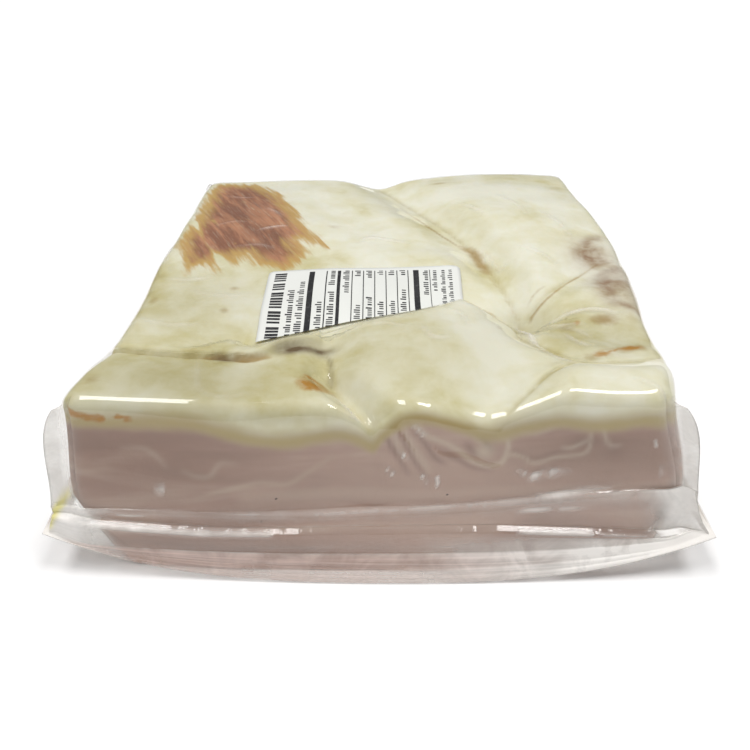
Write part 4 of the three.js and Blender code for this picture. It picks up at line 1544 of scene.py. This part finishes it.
    def lay_flange(self, points: Array, s: Array, t: Array, share: Array, under: Array, lower: Array) -> None:
        """Lays the front's lower film on the floor, from the bag's edge back under the slab.

        Args:
            points: The film's points, some of which it moves.
            s: Place across of each.
            t: Place along of each.
            share: Each ring's share.
            under: Which points are the skirt's lower film.
            lower: Which points are the lower wall.
        """
        facing = np.where(t <= -1.0, smoothstep(1.0 - np.abs(s), *self.flange_ends), 0.0)[:, None]
        floor = np.full(s.shape, self.flange_height)
        foot = np.stack([*self.form.plan(s, t, np.zeros(s.shape)), floor], axis=-1)
        edge = self.edge(s, t)
        edge[:, 2] = np.maximum(edge[:, 2] - self.gap, self.flange_height)
        back = np.where(lower, 1.0 - share, 0.0)[:, None] * np.array([0.0, self.flange_tuck, 0.0])
        laid = np.where(under[:, None], lerp(foot, edge, share[:, None]), foot + back)
        move = facing * (under | lower)[:, None]
        points += (laid - points) * move

    def lay_upper(self, s: Array, t: Array, w: Array, on_top: Array) -> tuple[Array, Array, Array]:
        """Lays out the top sheet and the walls above the seam.

        Args:
            s: Place across, from -1 to 1.
            t: Place along, from -1 to 1.
            w: Place up, from -1 to 1.
            on_top: Which points are the top sheet.

        Returns:
            The points, and the haze and slack of each.
        """
        walls, _ = self.form.surface(s, t, w, self.margin, self.relief, self.front)
        below = 1.0 - self.form.seam_place
        low = smoothstep(1.0 - w, self.low_wall * below, below)
        rise, last = self.seam_rise(walls[:, 0], t), smoothstep(low, *self.last_wall)
        walls[:, 2] += (self.form.seam_height + self.seam_gap + rise - walls[:, 2]) * last
        walls[:, 1] -= self.low_seam_out * np.maximum(-rise, 0.0) * last
        points = self.pull_webs(walls, s, t, np.where(on_top, 0.0, 1.0))
        drawn = np.linalg.norm(points - walls, axis=-1)
        veil_and_highlight = self.haze_and_highlight
        haze_and_highlight = veil_and_highlight.web * smoothstep(drawn, *veil_and_highlight.web_span)
        haze_and_highlight += veil_and_highlight.wall_foot * smoothstep(low, *veil_and_highlight.wall_foot_span)
        upright = 1.0 - smoothstep(self.form.from_corner(s, t), *veil_and_highlight.upright_span)
        haze_and_highlight += np.where(on_top, 0.0, veil_and_highlight.upright * upright)
        x, y, z = walls.T
        # On the top the wrinkles whiten the film, partly as slack film and partly as painted highlight; the
        # glints are painted highlights.
        wrinkled = veil_and_highlight.wrinkle * gather(self.wrinkles, x, y) ** veil_and_highlight.wrinkle_power
        glinting = veil_and_highlight.glint * gather(self.glints, x, z) * in_front(y)
        haze_and_highlight = np.maximum.reduce([haze_and_highlight, np.where(on_top, wrinkled, 0.0), glinting])
        return points, haze_and_highlight, self.taut + self.web_slack * smoothstep(drawn, *self.slack_span)

    def lay_skirt(self, s: Array, t: Array, out: Array) -> tuple[Array, dict[str, Array]]:
        """Lays out the skirt's upper film.

        Args:
            s: Place across, from -1 to 1.
            t: Place along, from -1 to 1.
            out: Share of the way from the slab to the bag's edge.

        Returns:
            The points, and the values by name that the finish reads.
        """
        middle, normal = self.skirt(s, t, out)
        lift = self.gap / 2.0 + self.crinkles(s, t, out)
        sheet = middle + normal * lift[:, None]
        points = self.pull_webs(sheet, s, t, 1.0 - out)
        veil_and_highlight, x = self.haze_and_highlight, sheet[:, 0]
        rightward = smoothstep(x, *veil_and_highlight.right_across)
        outer = smoothstep(out, *veil_and_highlight.outer_span)
        fall = smoothstep(out, *veil_and_highlight.fall_span)
        corner = 1.0 - smoothstep(self.form.from_corner(s, t), *veil_and_highlight.corner_span)
        seam = bell(out, *veil_and_highlight.seam_at) * lerp(*veil_and_highlight.seam, smoothstep(x, *veil_and_highlight.seam_across))
        haze_and_highlight = veil_and_highlight.sheet + seam + veil_and_highlight.ledge * bell(out, *veil_and_highlight.ledge_at) + veil_and_highlight.fall * fall
        haze_and_highlight += veil_and_highlight.outer * outer + veil_and_highlight.corner * corner
        haze_and_highlight += rightward * lerp(*veil_and_highlight.right, fall)
        return points, {
            "haze_and_highlight": haze_and_highlight,
            "slack": np.full(len(s), self.skirt_slack),
            "blush": outer * (1.0 - smoothstep(x, *veil_and_highlight.blush_across)) * (1.0 - corner),
            "lines": lerp(*veil_and_highlight.lines, outer) * (1.0 - veil_and_highlight.lines_fade * rightward),
            "run": out,
        }

    def build(self, finish: ClearFilmFinish) -> bpy.types.Object:
        """Makes the bag.

        Args:
            finish: The film's finish.

        Returns:
            The bag's object.
        """
        rings = self.rings()
        pouch = Pouch.over(self.form, self.columns, self.rows, rings)
        s, t, ring = pouch.places()
        stage = np.array([Stage.UPPER_WALL] + [r.stage for r in rings], dtype=object)[ring]
        share = np.array([1.0] + [r.share for r in rings])[ring]
        upper, top, under, lower, base = (stage == part for part in Stage)
        points = np.zeros((len(s), 3))
        fields = {name: np.zeros(len(s)) for name in ("haze_and_highlight", "slack", "oil", "blush", "lines", "run")}
        fields["slack"][:] = self.taut
        points[upper], fields["haze_and_highlight"][upper], fields["slack"][upper] = self.lay_upper(
            s[upper], t[upper], share[upper], ring[upper] == 0)
        points[top], looks = self.lay_skirt(s[top], t[top], share[top])
        for name, values in looks.items():
            fields[name][top] = values
        middle, normal = self.skirt(s[under], t[under], share[under])
        points[under] = middle - normal * (self.gap / 2.0)
        fields["haze_and_highlight"][under] = self.haze_and_highlight.sheet
        plain = self.margin, self.flat, self.flat
        points[lower], _ = self.form.surface(s[lower], t[lower], share[lower], *plain)
        points[base], _ = self.form.surface(
            s[base] * share[base], t[base] * share[base], np.full(base.sum(), -1.0), *plain)
        self.lay_flange(points, s, t, share, under, lower)
        outside = upper | top
        points[:, 2] = np.maximum(points[:, 2], np.where(outside, self.off_floor[1], self.off_floor[0]))
        pouch.lay(points)
        x, y, z = points.T
        oil = self.oil.at(x, z) * outside
        oil = oil * smoothstep(-y, *self.oil_front) * smoothstep(-x, *self.oil_left)
        # The gleams are painted highlights, laid into the haze as white veil.
        gleam = self.haze_and_highlight.gleam * gather(self.gleams, x, z) * outside * in_front(y)
        fields["haze_and_highlight"] = np.maximum.reduce([fields["haze_and_highlight"], self.haze_and_highlight.oil * oil, gleam])
        fields["oil"] = np.clip(oil * self.oil_tint, 0.0, 1.0)
        return finish_piece("bag_film", pouch.mesh, [finish.material()], fields)


class RowStyle(Enum):
    """How a row of the label is printed."""

    BAR = auto()
    MARKS = auto()


@dataclass(frozen=True)
class PrintRow:
    """One row across the label, by shares of its length, and spans by shares of its width."""

    start: float
    end: float
    spans: tuple[Point, ...] = ((0.05, 0.96),)
    style: RowStyle = RowStyle.BAR
    pitch: float = 1.5
    tall: float = 0.35
    weight: float = 0.58


@dataclass
class PaperLabel:
    """The printed paper label, tucked under the fold at its near edge."""

    form: SlabForm
    length: float = 75.0
    width: float = 45.0
    thickness: float = 0.2
    gap: float = 0.62
    tuck: float = 1.5
    turn: float = 6.7
    corner: float = 2.2
    far_left: Point = (-41.8, -15.6)
    cells: tuple[int, int] = (48, 34)
    film_margin: float = 0.4
    first_seed: int = 100
    cut_reach: float = 3.0
    low_share: float = 0.3
    word_gap: float = 1.6
    rows: tuple[PrintRow, ...] = (
        PrintRow(0.035, 0.095, ((0.05, 0.96),), RowStyle.MARKS, 1.7, 0.95, 0.72),
        PrintRow(0.115, 0.148, ((0.34, 0.96),), RowStyle.MARKS, 1.15),
        PrintRow(0.162, 0.195, ((0.22, 0.96),), RowStyle.MARKS, 1.15),
        PrintRow(0.210, 0.238),
        PrintRow(0.254, 0.286, ((0.50, 0.96),), RowStyle.MARKS, 1.15),
        PrintRow(0.297, 0.303),
        PrintRow(0.312, 0.344, ((0.05, 0.30), (0.38, 0.96)), RowStyle.MARKS, 1.15),
        PrintRow(0.355, 0.372),
        PrintRow(0.384, 0.416, ((0.05, 0.42),), RowStyle.MARKS, 1.15),
        PrintRow(0.428, 0.433),
        PrintRow(0.444, 0.474, ((0.05, 0.17), (0.52, 0.96)), RowStyle.MARKS, 1.15),
        PrintRow(0.486, 0.491),
        PrintRow(0.502, 0.532, ((0.05, 0.17), (0.42, 0.96)), RowStyle.MARKS, 1.15),
        PrintRow(0.544, 0.549),
        PrintRow(0.560, 0.590, ((0.05, 0.14), (0.46, 0.96)), RowStyle.MARKS, 1.15),
        PrintRow(0.602, 0.607),
        PrintRow(0.618, 0.648, ((0.05, 0.14), (0.44, 0.96)), RowStyle.MARKS, 1.15),
        PrintRow(0.660, 0.665),
        PrintRow(0.676, 0.706, ((0.05, 0.12), (0.30, 0.96)), RowStyle.MARKS, 1.15),
        PrintRow(0.718, 0.723),
        PrintRow(0.748, 0.778),
        PrintRow(0.800, 0.826, ((0.06, 0.34), (0.52, 0.94)), RowStyle.MARKS, 0.95),
        PrintRow(0.834, 0.838),
        PrintRow(0.846, 0.872, ((0.06, 0.30), (0.52, 0.94)), RowStyle.MARKS, 0.95),
        PrintRow(0.892, 0.916, ((0.06, 0.96),), RowStyle.MARKS, 0.95),
        PrintRow(0.930, 0.954, ((0.06, 0.72),), RowStyle.MARKS, 0.95),
    )

    def cut(self, mesh: bmesh.types.BMesh, faces: Sequence[bmesh.types.BMFace], at: Point,
            normal: Point, drop: bool = False) -> None:
        """Cuts faces along a line of the flat label.

        Args:
            mesh: The label's mesh.
            faces: The faces to cut.
            at: A point of the line.
            normal: The direction across the line.
            drop: Whether what lies beyond the line goes.
        """
        parts = set(faces)
        for face in faces:
            parts.update(face.edges)
            parts.update(face.verts)
        bmesh.ops.bisect_plane(mesh, geom=list(parts), dist=1e-4, plane_co=(*at, 0.0),
                               plane_no=(*normal, 0.0), clear_outer=drop)

    def strokes(self, row: PrintRow, seed: int) -> list[tuple[float, float, bool]]:
        """Breaks a row's spans into short strokes.

        Args:
            row: The row.
            seed: Start of its uneven lengths.

        Returns:
            Each stroke's start and end across the label, and whether it is tall.
        """
        if row.style is RowStyle.BAR:
            return [(a * self.width, b * self.width, True) for a, b in row.spans]
        rng = np.random.RandomState(seed)
        made = []
        for first, last in row.spans:
            place, left = first * self.width, rng.randint(4, 9)
            while place + 0.6 * row.pitch < last * self.width:
                size = row.pitch * row.weight * rng.uniform(0.8, 1.2)
                made.append((place, min(place + size, last * self.width), bool(rng.rand() < row.tall)))
                left -= 1
                place += row.pitch * (1.0 if left else self.word_gap)
                left = left or rng.randint(3, 9)
        return made

    def print_row(self, mesh: bmesh.types.BMesh, row: PrintRow, seed: int) -> None:
        """Cuts one row out of the flat label and inks it.

        Args:
            mesh: The label's mesh.
            row: The row.
            seed: Start of its uneven lengths.
        """
        first, last = row.start * self.length, row.end * self.length
        shoulder = first if row.style is RowStyle.BAR else lerp(first, last, self.low_share)
        for line in sorted({first, shoulder, last}):
            near = [f for f in mesh.faces if abs(f.calc_center_median().x - line) < self.cut_reach]
            self.cut(mesh, near, (line, 0.0), (1.0, 0.0))
        strokes = self.strokes(row, seed)
        for start, end, _ in strokes:
            for line in (start, end):
                band = [f for f in mesh.faces if first < f.calc_center_median().x < last
                        and abs(f.calc_center_median().y + line) < self.cut_reach]
                self.cut(mesh, band, (0.0, -line), (0.0, 1.0))
        for face in mesh.faces:
            at = face.calc_center_median()
            if first < at.x < last:
                for start, end, tall in strokes:
                    if start < -at.y < end and (tall or at.x > shoulder):
                        face.material_index = 1

    def slope(self) -> Point:
        """Gives how far the label's long side goes across and along in a millimetre."""
        return math.cos(math.radians(self.turn)), math.sin(math.radians(self.turn))

    def hide_near_edge(self, mesh: bmesh.types.BMesh) -> None:
        """Cuts away what the fold hides of the flat label."""
        across, along = self.slope()
        line = self.form.tuck.path.line()
        ends = []
        for place in (0.0, self.length):
            x = self.far_left[0] + place * across
            near = float(np.interp(x, line[:, 0], line[:, 1])) + self.tuck
            ends.append((place, near - self.far_left[1] - place * along))
        (ax, ay), (bx, by) = ends
        self.cut(mesh, mesh.faces[:], (ax, ay), (by - ay, ax - bx), True)

    def round_corners(self, mesh: bmesh.types.BMesh) -> None:
        """Rounds the flat label's two far corners."""
        for vert in mesh.verts:
            for x, y in ((self.corner, -self.corner), (self.length - self.corner, -self.corner)):
                out = Vector((vert.co.x - x, vert.co.y - y, 0.0))
                if (out.x < 0.0) == (x < self.length / 2.0) and out.y > 0.0 and out.length > self.corner:
                    vert.co = Vector((x, y, 0.0)) + out.normalized() * self.corner

    def lay(self, mesh: bmesh.types.BMesh) -> None:
        """Lays the flat label on the film over the slab's top."""
        across, along = self.slope()
        flat = np.array([vert.co for vert in mesh.verts])
        x = self.far_left[0] + flat[:, 0] * across
        y = self.far_left[1] + flat[:, 0] * along + flat[:, 1]
        z = self.form.top_height(x, y) + self.form.lumps(x, y) + self.gap + self.film_margin
        for vert, point in zip(mesh.verts, np.stack([x, y, z], axis=-1) * MM):
            vert.co = point

    def build(self, paper: LabelPaperFinish, ink: LabelInkFinish) -> bpy.types.Object:
        """Makes the label.

        Args:
            paper: The paper's finish.
            ink: The print's finish.

        Returns:
            The label's object.
        """
        mesh = bmesh.new()
        bmesh.ops.create_grid(mesh, x_segments=self.cells[0], y_segments=self.cells[1], size=0.5)
        bmesh.ops.scale(mesh, vec=(self.length, self.width, 1.0), verts=mesh.verts[:])
        bmesh.ops.translate(mesh, vec=(self.length / 2.0, -self.width / 2.0, 0.0), verts=mesh.verts[:])
        for seed, row in enumerate(self.rows):
            self.print_row(mesh, row, self.first_seed + seed)
        self.hide_near_edge(mesh)
        self.round_corners(mesh)
        self.lay(mesh)
        bmesh.ops.recalc_face_normals(mesh, faces=mesh.faces[:])
        if mesh.faces[0].normal.z < 0.0:
            bmesh.ops.reverse_faces(mesh, faces=mesh.faces[:])
        bmesh.ops.solidify(mesh, geom=mesh.faces[:], thickness=self.thickness * MM)
        return finish_piece("paper_label", mesh, [paper.material(), ink.material()])


# The studio

@dataclass(frozen=True)
class Softbox:
    """A flat studio light."""

    name: str
    at: tuple[float, float, float]
    towards: tuple[float, float, float]
    size: Point
    radiance: float

    def light(self) -> None:
        """Hangs the light."""
        data = bpy.data.lights.new(self.name, "AREA")
        data.shape = "RECTANGLE"
        data.size, data.size_y = self.size
        data.energy = self.radiance * math.pi * self.size[0] * self.size[1]
        lamp = bpy.data.objects.new(self.name, data)
        way = Vector(self.towards) - Vector(self.at)
        lamp.matrix_world = Matrix.Translation(self.at) @ way.to_track_quat("-Z", "Y").to_matrix().to_4x4()
        bpy.context.scene.collection.objects.link(lamp)


@dataclass
class Studio:
    """The pale floor, the soft light and the camera."""

    floor_radius: float = 6.0
    surround: Point = (0.06, 0.68)
    camera_at: tuple[float, float, float] = (-0.001, -0.263, 0.175)
    look: tuple[float, float, float] = (0.0, 0.83, -0.5577)
    focal_pixels: float = 700.0
    image_pixels: float = 750.0
    sensor_width: float = 36.0
    clip_start: float = 0.01
    floor_sides: int = 96
    boxes: tuple[Softbox, ...] = (
        Softbox("left_box", (-2.05, 0.10, 6.0), (0.0, 0.0, 0.0), (3.4, 1.9), 8.3),
        Softbox("right_box", (2.2, 0.10, 6.0), (0.0, 0.0, 0.0), (2.2, 1.9), 10.3),
    )

    def floor(self, finish: FloorFinish) -> None:
        """Lays the floor."""
        mesh = bmesh.new()
        bmesh.ops.create_circle(mesh, cap_ends=True, segments=self.floor_sides, radius=self.floor_radius)
        finish_piece("studio_floor_disc", mesh, [finish.material()])

    def lights(self) -> None:
        """Sets the surround and hangs the softboxes."""
        world = bpy.data.worlds.new("studio_surround")
        bpy.context.scene.world = world
        world.use_nodes = True
        back = world.node_tree.nodes["Background"]
        back.inputs["Color"].default_value = (1.0, 1.0, 1.0, 1.0)
        way = world.node_tree.nodes.new("ShaderNodeTexCoord")
        parts = world.node_tree.nodes.new("ShaderNodeSeparateXYZ")
        sky = world.node_tree.nodes.new("ShaderNodeMapRange")
        for socket, value in zip(("From Min", "From Max", "To Min", "To Max"), (0.0, 1.0, *self.surround)):
            sky.inputs[socket].default_value = value
        world.node_tree.links.new(way.outputs["Generated"], parts.inputs[0])
        world.node_tree.links.new(parts.outputs["Z"], sky.inputs["Value"])
        world.node_tree.links.new(sky.outputs[0], back.inputs["Strength"])
        for box in self.boxes:
            box.light()

    def camera(self) -> None:
        """Sets the camera at the photograph's viewing angle."""
        data = bpy.data.cameras.new("view")
        data.sensor_fit = "HORIZONTAL"
        data.sensor_width = self.sensor_width
        data.lens = self.sensor_width * self.focal_pixels / self.image_pixels
        data.clip_start = self.clip_start
        view = bpy.data.objects.new("view", data)
        turn = Vector(self.look).to_track_quat("-Z", "Y").to_matrix().to_4x4()
        view.matrix_world = Matrix.Translation(self.camera_at) @ turn
        bpy.context.scene.collection.objects.link(view)
        bpy.context.scene.camera = view
        bpy.context.scene.view_settings.view_transform = "Standard"


def main() -> None:
    """Builds the pack and its studio."""
    logging.basicConfig(level=logging.INFO, format="%(name)s: %(message)s")
    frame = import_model()
    form = SlabForm()
    studio = Studio()
    studio.camera()
    pieces = (
        (FatSlab(form).build(CuredFatFinish()), "sealed_bag", "cured_fat"),
        (BagFilm(form).build(ClearFilmFinish()), "sealed_bag", "clear_film"),
        (PaperLabel(form).build(LabelPaperFinish(), LabelInkFinish()), "label", "label_paper"),
    )
    for piece, node, slot in pieces:
        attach(piece, "root")
        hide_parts(node)
        log.info("%s: %d faces, stands for %s of %d nodes", piece.name, len(piece.data.polygons), node,
                 len(frame["nodes"]))
    studio.floor(FloorFinish())
    studio.lights()


if __name__ == "__main__":
    main()
